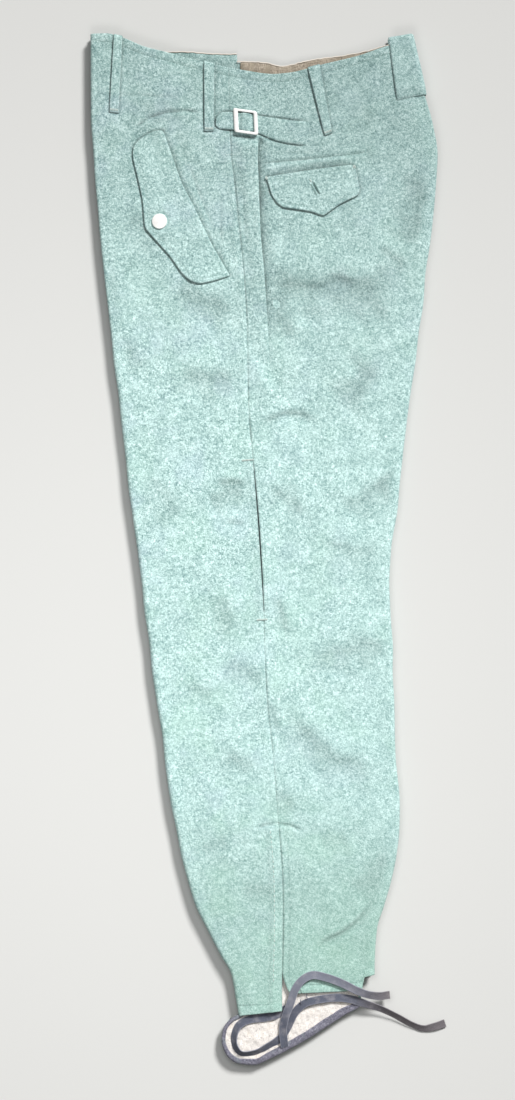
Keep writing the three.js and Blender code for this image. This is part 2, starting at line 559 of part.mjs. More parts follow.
const group = new THREE.Group();
const garment = new THREE.Group();
group.add(garment);
function add(name, g, finish) {
  const mesh = new THREE.Mesh(g, new THREE.MeshStandardMaterial(finish));
  mesh.name = name;
  garment.add(mesh);
}
add("left_front", panel(true, true), WOOL);
add("left_back", panel(false, true), WOOL);
add("right_front", panel(true, false), WOOL_UNDER);
add("right_back", panel(false, false), WOOL_UNDER);
for (const upper of [true, false]) {
  const side = upper ? "left" : "right";
  const finish = upper ? WOOL : WOOL_UNDER;
  add(side + "_front_flap", plate(rounded(FRONT_FLAP, 2), REST, REST + FLAP, upper), finish);
  add(side + "_back_flap", plate(rounded(BACK_FLAP, 2), REST, REST + FLAP, upper), finish);
  add(side + "_snap", snap(upper), METAL);
  for (const [where, outline] of Object.entries(LOOPS))
    add(side + "_loop_" + where, plate(rounded(outline, 1.5), REST, REST + LOOP, upper), finish);
  add(side + "_strap", strap(upper), finish);
  add(side + "_buckle", buckle(upper), METAL);
}
add("centre_back_loop", backLoop(), WOOL);
add("right_waist_lining", waistLining(), BEIGE);
add("left_hem_facing", hemFacing(), COTTON);
add("ankle_tape_long", tape(LONG_TAPE, 64), GREY);
add("ankle_tape_short", tape(SHORT_TAPE, 36), GREY);

export default group;
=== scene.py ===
"""Paratrooper trousers in napped wool, lying on their side.

All tables are in millimetres, in the CAD frame: +Y to the waist, -X to the front crease, +Z up.
The left half of the garment is on top, and the right half is its mirror underneath.
"""

import math

import bpy
import numpy as np
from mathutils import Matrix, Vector
from mathutils.geometry import delaunay_2d_cdt


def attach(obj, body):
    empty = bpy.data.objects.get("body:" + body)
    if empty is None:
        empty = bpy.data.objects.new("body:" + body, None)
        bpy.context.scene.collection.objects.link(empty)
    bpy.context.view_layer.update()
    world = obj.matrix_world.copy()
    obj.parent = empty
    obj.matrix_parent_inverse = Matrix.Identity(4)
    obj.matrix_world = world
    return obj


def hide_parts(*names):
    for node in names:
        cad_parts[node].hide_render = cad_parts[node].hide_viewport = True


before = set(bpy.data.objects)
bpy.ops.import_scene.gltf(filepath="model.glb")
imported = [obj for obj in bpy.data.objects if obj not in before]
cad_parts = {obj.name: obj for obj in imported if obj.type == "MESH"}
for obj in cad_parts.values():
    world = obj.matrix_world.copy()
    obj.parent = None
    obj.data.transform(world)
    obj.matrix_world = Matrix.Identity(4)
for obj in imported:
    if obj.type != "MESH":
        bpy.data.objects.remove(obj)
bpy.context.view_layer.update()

MM = 0.001
CLOTH = 1.8
TOP = 16.2
WAIST_BASE = 4.4
LEG_MID, WAIST_MID = 8.1, 10.3
RISE_FROM, RISE_TO = 142.5, 274.5
HALF_GAP = 0.25
HEM_REF, WAIST_REF = -495.5, 538.5
CROTCH, FRONT_RISE, BACK_RISE = 236.0, 329.5, 357.0
LIP = 12.0
UNDER_HEM = -468.0
INNER_TOP = LEG_MID + HALF_GAP + CLOTH

# ---------------------------------------------------------------- tables
# y, front fold, side seam, back fold
SECTIONS = [
    (-495.5, -31, 20, 122), (-468, -36, 20, 122), (-446, -48, 20.5, 122),
    (-418.5, -62, 21, 124.5), (-391, -75.5, 21, 133), (-363.5, -84, 20.5, 141),
    (-336, -91.5, 19, 147), (-308.5, -97, 16.5, 149.5), (-281, -102.5, 14.5, 150),
    (-226, -110, 10, 145), (-171, -117.5, 4, 143.5), (-116, -125, 1, 142),
    (-61, -132, -0.5, 138.5), (-6, -139.5, -3.5, 139.5), (49, -146.5, -7.5, 148),
    (104, -153, -12.5, 153), (159, -159.5, -17, 159.5), (241.5, -169.5, -18.5, 171.5),
    (296.5, -176, -21.5, 177.5), (351.5, -181.5, -27, 185), (406.5, -186, -32.5, 190),
    (434, -188, -36, 191.5), (467, -190, -37.5, 186.5), (505.5, -190.5, -38.5, 176),
    (538.5, -191, -39.5, 168), (560.5, -191, -40, 163),
]
WAIST_NEAR = [
    (-190.5, 567.5), (-174, 568), (-157.5, 564), (-131, 553), (-106.5, 547),
    (-83.5, 540.5), (-54, 533.5), (-15.5, 526.5), (9, 523.5), (28.5, 525),
    (60.5, 533), (102.5, 543), (134, 553.5), (167, 562.5),
]
WAIST_FAR_FRONT = [
    (-190.5, 567.5), (-174, 568), (-157.5, 564), (-131, 553), (-106.5, 548.5),
    (-83.5, 548.5), (-59.5, 546.5), (-28.5, 546),
]
WAIST_FAR_BACK = [
    (-31, 537), (-2, 536), (18.5, 532), (45, 537), (60.5, 540), (102.5, 546),
    (134, 554.5), (167, 562.5),
]
FAR_SEAM_AT_WAIST = -29.5
HEM_FRONT = [(-30, -513.5), (19, -508)]
HEM_BACK = [(27.5, -489), (50.5, -488), (97, -486), (107.5, -484.5), (110.5, -471), (122, -468.5)]
# share from fold to inseam, x, y
HEM_INNER_FRONT = [
    (0, -29.5, -510), (0.12, -38, -517.6), (0.24, -44.6, -528.5), (0.38, -45.9, -541), (0.54, -41, -555.2),
    (0.7, -27.4, -565.4), (0.82, -11, -566.8), (0.91, 6, -561), (1, 21, -553.4),
]
HEM_INNER_BACK = [
    (0, 119.5, -468.5), (0.1, 108.5, -471.5), (0.22, 106.5, -485), (0.34, 107, -496.5),
    (0.46, 92, -509), (0.64, 72.5, -522.8), (0.82, 47.5, -539), (1, 21.4, -553.4),
]
# y, distance of the pleat's edge from the seam, height as a share
SIDE_PLEAT = [
    (-560, 23, 0), (185, 23, 0), (225, 23, 0.22), (276.5, 22.3, 0.62), (329.5, 22.5, 0.92),
    (384.5, 25, 1), (446, 30, 1), (455.5, 30.7, 0), (570, 31, 0),
]
KNEE = (-67.5, 95.0, 1.4)  # slit's lower end, upper end, opening
HEM_SLIT = (-463.5, -489.0, 8.6)

# creases: points, depth (mm), half width (mm)
CREASES = [
    ([(-8, 292), (40, 288), (92, 285), (148, 290)], 3.9, 13),
    ([(122, 328), (138, 315), (154, 304)], 1.9, 9),
    ([(164, 418), (170, 384), (158, 346), (150, 318)], 2.9, 11),
    ([(128, 212), (108, 180), (84, 146)], 3.2, 12),
    ([(-4, 129), (8, 141), (23, 148.5), (40, 147), (58, 141)], 2.3, 3.6),
    ([(-54, 70), (-38, 73), (-20, 72)], 1.8, 3.0),
    ([(-66, 52), (-44, 60), (-22, 58)], 2.8, 9),
    ([(-44, 30), (-22, 28)], 1.4, 3.4),
    ([(2, 68), (20, 54), (46, 33)], 2.3, 9.5),
    ([(86, 40), (112, 54), (138, 68)], 2.6, 10),
    ([(118, 61), (130, 74), (142, 85)], 2.0, 4.2),
    ([(-104, 288), (-72, 268), (-38, 254)], 2.5, 10),
    ([(-100, 190), (-66, 182), (-34, 184)], 2.6, 10),
    ([(-152, 368), (-130, 346), (-112, 324)], 1.5, 11),
    ([(-164, 226), (-136, 192)], 1.4, 11),
    ([(-134, 82), (-112, 54), (-94, 26)], 1.5, 15),
    ([(9, 278), (16, 250), (28, 224)], 2.6, 8),
    ([(-16, 214), (-5, 190), (7, 164)], -1.4, 8),
    ([(-50, -50), (-48, -72), (-42, -96)], 1.4, 9.5),
    ([(12, -54), (18, -74), (22, -96)], 2.0, 6.5),
    ([(44, -122), (84, -118), (114, -109), (138, -100)], 2.3, 12),
    ([(-48, -127), (-26, -135), (-4, -147)], 1.7, 10),
    ([(18, -186), (47, -214), (80, -240), (124, -250)], 2.5, 10.5),
    ([(2, -168), (8, -190), (12, -206)], 1.2, 4.6),
    ([(-42, -225), (-14, -246)], 1.6, 8),
    ([(60, -437), (88, -422), (104, -410), (118, -391)], 2.2, 2.7),
    ([(96, -387), (120, -366), (138, -338)], 2.0, 10),
    ([(8, -269), (36, -291)], 1.5, 8),
    ([(-32, -376), (8, -385)], 1.1, 8),
    ([(-72, -330), (-36, -320)], 1.1, 9),
    ([(94, 252), (142, 264)], 1.3, 10),
    ([(-94, -150), (-54, -167)], 1.2, 9),
    ([(58, 6), (96, -9), (130, -5)], 1.4, 9),
    ([(60, -330), (94, -322)], 1.0, 8),
    ([(-130, 470), (-104, 492)], 0.9, 9),
    ([(90, 478), (124, 470)], 0.9, 10),
]
# pressed lines and stitched channels: points, depth, half width
LINES = [
    ([(-141.9, 463.7), (-133, 470.5), (-125.4, 475.5), (-108.9, 481), (-86.9, 482.8), (-70.4, 481)], 1.0, 1.5),
    ([(-110.2, 461), (-90.2, 404.2), (-72.4, 369.4), (-55.8, 334.4), (-37.6, 302)], 0.2, 1.2),
    ([(-105, 463), (-85, 406), (-67.4, 372), (-50.6, 337), (-33, 306)], -0.4, 2.6),
    ([(-83.6, 425), (-66, 378), (-46.2, 322)], 0.45, 1.4),
    ([(0.5, 412), (40, 418.4), (97, 425.6)], 0.45, 1.5),
    ([(-36, 455.8), (-22, 454.4), (-9, 453)], 1.1, 1.9),
    ([(-4.4, 452.5), (-3.4, 445)], 1.8, 2.3),
    ([(-3, 417.5), (40, 423.5), (100, 430.8)], -0.8, 3.2),
    ([(-178, 500.5), (-132, 499), (-92, 497)], 0.35, 1.6),
    ([(-3.3, 425), (46, 429.5), (97.9, 435), (118, 438)], 0.75, 1.3),
    ([(-48, 393), (-47, 340), (-50, 304)], 0.4, 1.6),
    ([(-24, 398), (-21, 340)], 0.45, 1.6),
    ([(-9, -307), (2, -302.6), (14, -301.4), (28, -303.4), (42, -309)], 0.9, 1.4),
    ([(-34, 424), (-31, 380), (-27, 330), (-24, 290)], 0.4, 1.4),
    ([(113, 446), (115.5, 430)], 0.5, 1.3),
]

FRONT_FLAP = [
    (-111, 461.5), (-120, 461), (-128.5, 457.5), (-138.5, 450.5), (-144.5, 443),
    (-145, 432), (-138.5, 405.5), (-134, 384.5), (-131.5, 353.5), (-117.5, 338),
    (-102, 320.5), (-91, 304), (-82, 295.5), (-70.5, 292), (-54, 295.5),
    (-37.5, 301), (-39.5, 305), (-57, 335), (-73.5, 370), (-91, 404.5),
]
BACK_FLAP = [
    (2, 410), (8, 390), (14, 381), (21, 376), (51.5, 371.5), (65.5, 366.5),
    (83.5, 379.5), (103.5, 389), (106, 395.5), (101, 419), (96.5, 423.5), (42, 416.5),
]
LOOPS = {
    "front": [(-165.5, 567.5), (-155.3, 565.3), (-159.5, 479.5), (-170.5, 481)],
    "side": [(-66.5, 538.6), (-54, 535.2), (-55, 460), (-66, 460)],
    "back": [(47.5, 530.7), (61.5, 534.4), (75.5, 458), (66.5, 454.5)],
}
STRAP = [
    (50.5, 444, 470.5, 0), (31, 446, 472.5, 0), (13, 450, 475, 0), (-6, 457.9, 477.6, 0),
    (-13, 459.2, 479, 0), (-17.6, 459.8, 480, 2), (-23.4, 460.6, 480.6, 2),
    (-28, 461.3, 481, 0), (-42, 462, 481.8, 0), (-49.5, 464, 479.8, 0),
    (-53.5, 468.5, 474.5, 0),
]  # x, low y, top y, lift
BUCKLE = dict(x=-20.0, y=470.4, wide=26.4, tall=26.4, tilt=-7.0)
SNAP = dict(x=-115.0, y=361.0, r=8.3)
# laid pieces press the cloth down round them: outline, depth, half width
HOLLOWS = [(FRONT_FLAP, 1.0, 1.4), (BACK_FLAP, 1.0, 1.4)]
HOLLOWS += [(points, 0.8, 1.2) for points in LOOPS.values()]
HOLLOWS += [([(x, low) for x, low, top, lift in STRAP] + [(x, top) for x, low, top, lift in reversed(STRAP)], 1.3, 1.4, 36, 49)]
HOLLOWS += [([(136.5, 566), (145.4, 494), (178, 499.6), (170, 570)], 0.65, 1.3)]
# hem binding: outer edge and inner edge
BINDING = [
    ((-27, -511), (-24, -515)), ((-38.5, -518.4), (-34.6, -521)), ((-45.4, -529), (-41.2, -530.2)),
    ((-46.9, -541), (-42.4, -540.6)), ((-42, -556), (-37.8, -552.6)), ((-28, -566.3), (-25.2, -560.8)),
    ((-11, -567.8), (-10, -560.8)), ((8, -560.6), (4.8, -553.6)), ((30, -549.4), (26.4, -542)),
    ((53, -536.4), (48.8, -528.8)), ((74.5, -522.2), (70, -514.6)), ((90, -512.2), (85.6, -505.2)),
    ((104, -504.8), (100, -499)), ((111, -498.5), (107.5, -494.5)),
]
FACING_EDGE = [
    (-24, -455), (-24, -511), (-35.6, -519), (-42.6, -529), (-43.8, -541), (-38.6, -554.6),
    (-25.6, -563), (-10, -563.6), (6, -556.6), (28, -545.4), (51, -532), (72.5, -518),
    (88, -508), (99, -500.5), (104, -494), (104.5, -455),
]
# tapes: x, y, z of the middle, roll in degrees
LONG_TAPE = [
    (25, -505, 12.4, 0), (14.5, -512, 12.3, 0), (1, -515.5, 12.4, 4), (-15.5, -517.5, 12.7, 10),
    (-26.5, -523, 13.4, 24), (-32, -533, 14.2, 38), (-32, -545, 14.4, 44),
    (-25.5, -554, 14.4, 46), (-10, -553, 14.4, 48), (6.5, -545, 13.6, 36),
    (18.5, -537.5, 12.6, 8), (26.5, -525, 12.5, -4), (34, -510, 12.8, -12),
    (45, -500, 13.3, -24), (61.5, -495.5, 13.5, -28), (81.5, -493.5, 13.2, -22),
    (97, -495.5, 12.6, -8), (106, -498.3, 12.3, 4), (115, -501.3, 11.4, 18),
    (127.5, -505.5, 9.2, 34), (145, -514, 6.0, 40), (163, -524, 4.1, 40),
    (176, -528.5, 3.4, 32), (189, -526.5, 3.0, 14), (200, -523, 2.2, 6),
]
SHORT_TAPE = [
    (23, -548.5, 13.2, 6), (22.2, -543, 14.3, 4), (21.5, -537.5, 14.7, 0),
    (21, -526.5, 14.9, -8), (24, -513, 16.2, -14), (29.5, -498, 17.9, -12),
    (34, -484.5, 18.4, -16), (42, -473.5, 18.6, -22), (53, -468, 18.3, -12),
    (68, -470.5, 18.0, -4), (86, -477, 17.9, 2), (101, -484.5, 17.9, 8),
    (114.5, -489.5, 16.2, 12), (127.5, -491.5, 13.4, 8), (138.5, -490.5, 10.8, 2),
]


# ---------------------------------------------------------------- small maths
def smooth(t):
    t = np.clip(t, 0.0, 1.0)
    return t * t * (3 - 2 * t)


def lerp(a, b, t):
    return a + (b - a) * t


def table(rows, by, key):
    """Monotone cubic through a table's columns."""
    xs = np.array([r[by] for r in rows], float)
    ys = np.array([r[key] for r in rows], float)
    s = np.diff(ys) / np.diff(xs)
    m = np.empty_like(ys)
    m[0], m[-1] = s[0], s[-1]
    if len(s) > 1:
        p = s[:-1] * s[1:]
        m[1:-1] = np.where(p > 0, 2 * p / np.where(p > 0, s[:-1] + s[1:], 1), 0)

    def f(x):
        x = np.asarray(x, float)
        k = np.clip(np.searchsorted(xs, x) - 1, 0, len(xs) - 2)
        h = xs[k + 1] - xs[k]
        t = (x - xs[k]) / h
        u = (
            ys[k] * (1 + 2 * t) * (1 - t) ** 2 + m[k] * h * t * (1 - t) ** 2
            + ys[k + 1] * t * t * (3 - 2 * t) + m[k + 1] * h * t * t * (t - 1)
        )
        u = np.where(x <= xs[0], ys[0] + s[0] * (x - xs[0]), u)
        return np.where(x >= xs[-1], ys[-1] + s[-1] * (x - xs[-1]), u)

    return f


def noise2(seed):
    grid = np.random.default_rng(seed).standard_normal((64, 64)).clip(-2, 2)

    def f(x, y):
        x, y = np.asarray(x, float), np.asarray(y, float)
        i, j = np.floor(x).astype(int), np.floor(y).astype(int)
        u, v = smooth(x - i), smooth(y - j)
        g = lambda a, b: grid[(i + a) % 64, (j + b) % 64]
        return lerp(lerp(g(0, 0), g(1, 0), u), lerp(g(0, 1), g(1, 1), u), v)

    return f


N1, N2, N3, N4, N5 = (noise2(s) for s in (11, 23, 37, 41, 59))
front_fold, side_seam, back_fold = (table(SECTIONS, 0, k) for k in (1, 2, 3))
waist_near = table(WAIST_NEAR, 0, 1)
waist_far_front, waist_far_back = table(WAIST_FAR_FRONT, 0, 1), table(WAIST_FAR_BACK, 0, 1)
hem_front, hem_back = table(HEM_FRONT, 0, 1), table(HEM_BACK, 0, 1)
pleat_off, pleat_high = table(SIDE_PLEAT, 0, 1), table(SIDE_PLEAT, 0, 2)


def rise(y):
    return smooth((y - RISE_FROM) / (RISE_TO - RISE_FROM))


def base_at(y):
    return WAIST_BASE * rise(y)


def mid_at(y):
    return lerp(LEG_MID, WAIST_MID, rise(y))


def to_line(x, y, points, handed=False):
    """Distance to a polyline, and the share of its length at the nearest point. Positive hand is its left."""
    pts = np.array(points, float)
    seg = np.diff(pts, axis=0)
    length = np.hypot(seg[:, 0], seg[:, 1])
    run = np.concatenate([[0], np.cumsum(length)])
    best = np.full(np.shape(x), 1e9)
    share = np.zeros(np.shape(x))
    hand = np.zeros(np.shape(x))
    for k in range(len(seg)):
        t = np.clip(((x - pts[k, 0]) * seg[k, 0] + (y - pts[k, 1]) * seg[k, 1]) / length[k] ** 2, 0, 1)
        d = np.hypot(x - pts[k, 0] - t * seg[k, 0], y - pts[k, 1] - t * seg[k, 1])
        near = d < best
        best = np.where(near, d, best)
        share = np.where(near, (run[k] + t * length[k]) / run[-1], share)
        if handed:
            cross = seg[k, 0] * (y - pts[k, 1]) - seg[k, 1] * (x - pts[k, 0])
            hand = np.where(near, cross, hand)
    return (best, share, hand) if handed else (best, share)


def inside_distance(x, y, ring):
    """Signed distance to a closed ring of points: positive inside."""
    pts = np.vstack([ring, ring[:1]])
    best = np.full(np.shape(x), 1e9)
    cross = np.zeros(np.shape(x), int)
    for k in range(len(ring)):
        (ax, ay), (bx, by) = pts[k], pts[k + 1]
        dx, dy = bx - ax, by - ay
        t = np.clip(((x - ax) * dx + (y - ay) * dy) / (dx * dx + dy * dy + 1e-12), 0, 1)
        best = np.minimum(best, np.hypot(x - ax - t * dx, y - ay - t * dy))
        if dy != 0:
            hit = ((ay > y) != (by > y)) & (x < dx * (y - ay) / dy + ax)
            cross += hit
    return np.where(cross % 2 == 1, best, -best)


def soft(x, y):
    """Soft swells and creases of the laid cloth."""
    x, y = np.asarray(x, float), np.asarray(y, float)
    h = 0.95 * N1(x / 95 + 3, y / 130) + 0.62 * N2(x / 42, y / 50 + 7) + 0.22 * N3(x / 17, y / 21)
    return h + 0.06 * N4(x / 7.5, y / 9) + troughs(x, y)


def troughs(x, y):
    """The creases listed in CREASES."""
    h = np.zeros(np.broadcast(x, y).shape)
    for points, depth, width in CREASES:
        xs = [p[0] for p in points]
        ys = [p[1] for p in points]
        m = 6 * width
        sel = (x > min(xs) - m) & (x < max(xs) + m) & (y > min(ys) - m) & (y < max(ys) + m)
        if not sel.any():
            continue
        bent = 0.28 * width
        xb = x[sel] + bent * N3(x[sel] / 27 + 5, y[sel] / 27)
        yb = y[sel] + bent * N3(x[sel] / 27, y[sel] / 27 + 9)
        d, s, hand = to_line(xb, yb, points, True)
        w = width * (1 + 0.25 * N2(x[sel] / 16, y[sel] / 16 + 3)) * np.where(hand > 0, 1.0, 1 + 0.7 * smooth(d / width))
        taper = smooth(s / 0.25) * smooth((1 - s) / 0.25) * 0.85 + 0.15
        ends = np.hypot(x[sel] - np.where(s < 0.5, xs[0], xs[-1]), y[sel] - np.where(s < 0.5, ys[0], ys[-1]))
        add = -depth * np.exp(-((d / w) ** 2)) + 0.3 * depth * np.exp(-(((d - 2.2 * width) / (1.2 * width)) ** 2)) * (hand > 0)
        past = ((s <= 0) | (s >= 1)) * ends
        h[sel] += add * taper * np.exp(-((past / (1.3 * width)) ** 2) * 0.5)
    return h


def fine(x, y, seam, front):
    """Seam groove, the knee slit's lips, pressed lines and the hollows round laid pieces."""
    e = np.abs(x - seam)
    k = (y - KNEE[0]) / (KNEE[1] - KNEE[0])
    slit = np.where((k > 0) & (k < 1), np.sin(np.pi * np.clip(k, 0, 1)) ** 0.5, 0)
    depth = np.where(y > 462, 0.2, np.where(y < -308, 0.85, 0.55 + 0.2 * N5(y / 26, 5.0)))
    h = -depth * (1 - slit) * np.exp(-((e / 1.0) ** 2))
    h += slit * (0.9 * np.exp(-((e / 5) ** 2)) - 0.4 * np.exp(-((e / 0.8) ** 2)))
    low = smooth((-302 - y) / 10)
    if front:
        h += 0.3 * np.exp(-(((e - 5) / 3.0) ** 2)) * (y < 450)
        h += 1.3 * np.exp(-(((e - 10.5) / 3.2) ** 2)) * low
    else:
        h -= 0.15 * np.exp(-(((e - 6.5) / 2.0) ** 2)) * low
    for points, d0, w in LINES:
        xs = [p[0] for p in points]
        ys = [p[1] for p in points]
        sel = (x > min(xs) - 8) & (x < max(xs) + 8) & (y > min(ys) - 8) & (y < max(ys) + 8)
        if sel.any():
            d, s = to_line(x[sel], y[sel], points)
            taper = smooth(s / 0.12) * smooth((1 - s) / 0.12)
            h[sel] += taper * (-d0 * np.exp(-((d / w) ** 2)) + 0.3 * d0 * np.exp(-(((d - 3.4 * w) / (1.6 * w)) ** 2)))
    for outline, d0, w, *fade in HOLLOWS:
        xs = [p[0] for p in outline]
        ys = [p[1] for p in outline]
        sel = (x > min(xs) - 6) & (x < max(xs) + 6) & (y > min(ys) - 6) & (y < max(ys) + 6)
        if sel.any():
            d = inside_distance(x[sel], y[sel], np.array(outline, float))
            full = 1 - smooth((x[sel] - fade[0]) / (fade[1] - fade[0])) if fade else 1.0
            h[sel] -= d0 * full * np.where(d > 0, 1.0, np.exp(-((d / w) ** 2)))
    return h


# ---------------------------------------------------------------- meshes
def faces_of_grid(m, n):
    idx = np.arange(m * n).reshape(m, n)
    a, b, c, d = idx[:-1, :-1], idx[:-1, 1:], idx[1:, 1:], idx[1:, :-1]
    return idx, np.stack([a, b, c, d], -1).reshape(-1, 4)


def wall(outer, inner):
    """Closed wall between two grids of points."""
    m, n, _ = outer.shape
    idx, top = faces_of_grid(m, n)
    k = m * n
    rims = [
        np.stack([idx[0, 1:], idx[0, :-1], idx[0, :-1] + k, idx[0, 1:] + k], -1),
        np.stack([idx[-1, :-1], idx[-1, 1:], idx[-1, 1:] + k, idx[-1, :-1] + k], -1),
        np.stack([idx[:-1, 0], idx[1:, 0], idx[1:, 0] + k, idx[:-1, 0] + k], -1),
        np.stack([idx[1:, -1], idx[:-1, -1], idx[:-1, -1] + k, idx[1:, -1] + k], -1),
    ]
    return np.concatenate([outer.reshape(-1, 3), inner.reshape(-1, 3)]), np.concatenate([top, top[:, ::-1] + k, *rims])


def ring_loft(rings):
    """Closed solid through rings with equal numbers of points, its ends capped."""
    m, n, _ = rings.shape
    idx = np.arange(m * n).reshape(m, n)
    nxt = np.roll(idx, -1, axis=1)
    sides = np.stack([idx[:-1], nxt[:-1], nxt[1:], idx[1:]], -1).reshape(-1, 4)
    verts = [rings.reshape(-1, 3), rings[0].mean(0)[None], rings[-1].mean(0)[None]]
    a, b = m * n, m * n + 1
    caps = [[a, nxt[0, j], idx[0, j]] for j in range(n)] + [[b, idx[-1, j], nxt[-1, j]] for j in range(n)]
    return np.concatenate(verts), [sides, np.array(caps)]


def tri_volume(v, f):
    if f.shape[1] == 4:
        f = np.concatenate([f[:, [0, 1, 2]], f[:, [0, 2, 3]]])
    a, b, c = v[f[:, 0]], v[f[:, 1]], v[f[:, 2]]
    return np.einsum("ij,ij->", a, np.cross(b, c)) / 6


def piece(name, verts, faces, mat, replaces=(), smooth_shade=True, sharp=None, uv=None, hollow=None):
    """A mesh object in metres that rides on the garment, its faces turned outwards."""
    verts = np.asarray(verts, float)
    faces = faces if isinstance(faces, list) else [faces]
    flip_ = sum(tri_volume(verts, f) for f in faces if isinstance(f, np.ndarray)) < 0
    polys = [t for f in faces for t in (f.tolist() if isinstance(f, np.ndarray) else f)]
    if flip_:
        polys = [t[::-1] for t in polys]
    me = bpy.data.meshes.new(name)
    me.from_pydata((verts * MM).tolist(), [], polys)
    if uv is not None:
        layer = me.uv_layers.new(name="along")
        loops = np.zeros(len(me.loops), np.int32)
        me.loops.foreach_get("vertex_index", loops)
        layer.data.foreach_set("uv", np.asarray(uv, np.float32)[loops].ravel())
    if hollow is not None:
        layer = me.attributes.new("hollow", "FLOAT", "POINT")
        layer.data.foreach_set("value", np.asarray(hollow, np.float32))
    me.validate()
    me.update()
    if smooth_shade:
        me.shade_smooth()
        if sharp:
            me.set_sharp_from_angle(angle=math.radians(sharp))
    ob = bpy.data.objects.new(name, me)
    bpy.context.scene.collection.objects.link(ob)
    me.materials.append(mat)
    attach(ob, "root")
    if replaces:
        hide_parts(*replaces)
    return ob


def mirrored(verts):
    """Where a piece on the upper half lies on the lower half."""
    v = np.array(verts, float)
    v[:, 2] = np.maximum(TOP + WAIST_BASE - v[:, 2], 0.06)
    return v


# ---------------------------------------------------------------- materials
def srgb(r, g, b):
    f = lambda c: c / 12.92 if c <= 0.04045 else ((c + 0.055) / 1.055) ** 2.4
    return (f(r / 255), f(g / 255), f(b / 255), 1.0)


class Nodes:
    """A short way to write a material's nodes."""

    def __init__(self, name):
        self.mat = bpy.data.materials.new(name)
        self.mat.use_nodes = True
        self.t = self.mat.node_tree
        self.bsdf = next(n for n in self.t.nodes if n.type == "BSDF_PRINCIPLED")
        self.out = next(n for n in self.t.nodes if n.type == "OUTPUT_MATERIAL")
        self.coord = self.t.nodes.new("ShaderNodeTexCoord")
        self.mm = self.t.nodes.new("ShaderNodeVectorMath")
        self.mm.operation = "SCALE"
        self.mm.inputs["Scale"].default_value = 1000.0
        self.t.links.new(self.coord.outputs["Object"], self.mm.inputs[0])
        self.p = self.mm.outputs[0]

    def link(self, a, b):
        self.t.links.new(a, b)

    def noise(self, scale, detail=2.0, rough=0.55, stretch=None, offset=None, distortion=0.0, vec=None):
        v = vec if vec is not None else self.p
        if stretch or offset:
            m = self.t.nodes.new("ShaderNodeMapping")
            if stretch:
                m.inputs["Scale"].default_value = stretch
            if offset:
                m.inputs["Location"].default_value = offset
            self.link(v, m.inputs["Vector"])
            v = m.outputs[0]
        n = self.t.nodes.new("ShaderNodeTexNoise")
        n.inputs["Scale"].default_value = scale
        n.inputs["Detail"].default_value = detail
        n.inputs["Roughness"].default_value = rough
        n.inputs["Distortion"].default_value = distortion
        self.link(v, n.inputs["Vector"])
        return n.outputs["Fac"]

    def math(self, op, a, b=None, c=None, clamp=False):
        n = self.t.nodes.new("ShaderNodeMath")
        n.operation = op
        n.use_clamp = clamp
        for k, v in enumerate((a, b, c)):
            if v is None:
                continue
            if isinstance(v, (int, float)):
                n.inputs[k].default_value = v
            else:
                self.link(v, n.inputs[k])
        return n.outputs[0]

    def remap(self, v, a, b, c=0.0, d=1.0, kind="SMOOTHSTEP"):
        n = self.t.nodes.new("ShaderNodeMapRange")
        n.interpolation_type = kind
        self.link(v, n.inputs["Value"])
        for key, val in (("From Min", a), ("From Max", b), ("To Min", c), ("To Max", d)):
            n.inputs[key].default_value = val
        return n.outputs[0]

    def mix(self, fac, a, b, kind="MIX"):
        n = self.t.nodes.new("ShaderNodeMix")
        n.data_type = "RGBA"
        n.blend_type = kind
        for sock, v in ((n.inputs["Factor"], fac), (n.inputs[6], a), (n.inputs[7], b)):
            if isinstance(v, (int, float)):
                sock.default_value = v
            elif isinstance(v, tuple):
                sock.default_value = v
            else:
                self.link(v, sock)
        return n.outputs[2]

    def bump(self, height, strength, distance_mm, normal=None):
        n = self.t.nodes.new("ShaderNodeBump")
        n.inputs["Strength"].default_value = strength
        n.inputs["Distance"].default_value = distance_mm * MM
        self.link(height, n.inputs["Height"])
        if normal is not None:
            self.link(normal, n.inputs["Normal"])
        return n.outputs[0]

    def attribute(self, name):
        n = self.t.nodes.new("ShaderNodeAttribute")
        n.attribute_name = name
        return n.outputs["Fac"]

    def axis(self, which):
        n = self.t.nodes.new("ShaderNodeSeparateXYZ")
        self.link(self.p, n.inputs[0])
        return n.outputs[which]

    def finish(self, color=None, rough=None, normal=None, metallic=0.0, sheen=0.0, sheen_rough=0.5, sheen_tint=(1, 1, 1, 1), spec=0.5):
        b = self.bsdf.inputs
        if color is not None:
            if isinstance(color, tuple):
                b["Base Color"].default_value = color
            else:
                self.link(color, b["Base Color"])
        if rough is not None:
            if isinstance(rough, (int, float)):
                b["Roughness"].default_value = rough
            else:
                self.link(rough, b["Roughness"])
        if normal is not None:
            self.link(normal, b["Normal"])
        b["Metallic"].default_value = metallic
        b["Specular IOR Level"].default_value = spec
        b["Sheen Weight"].default_value = sheen
        b["Sheen Roughness"].default_value = sheen_rough
        b["Sheen Tint"].default_value = sheen_tint
        return self.mat


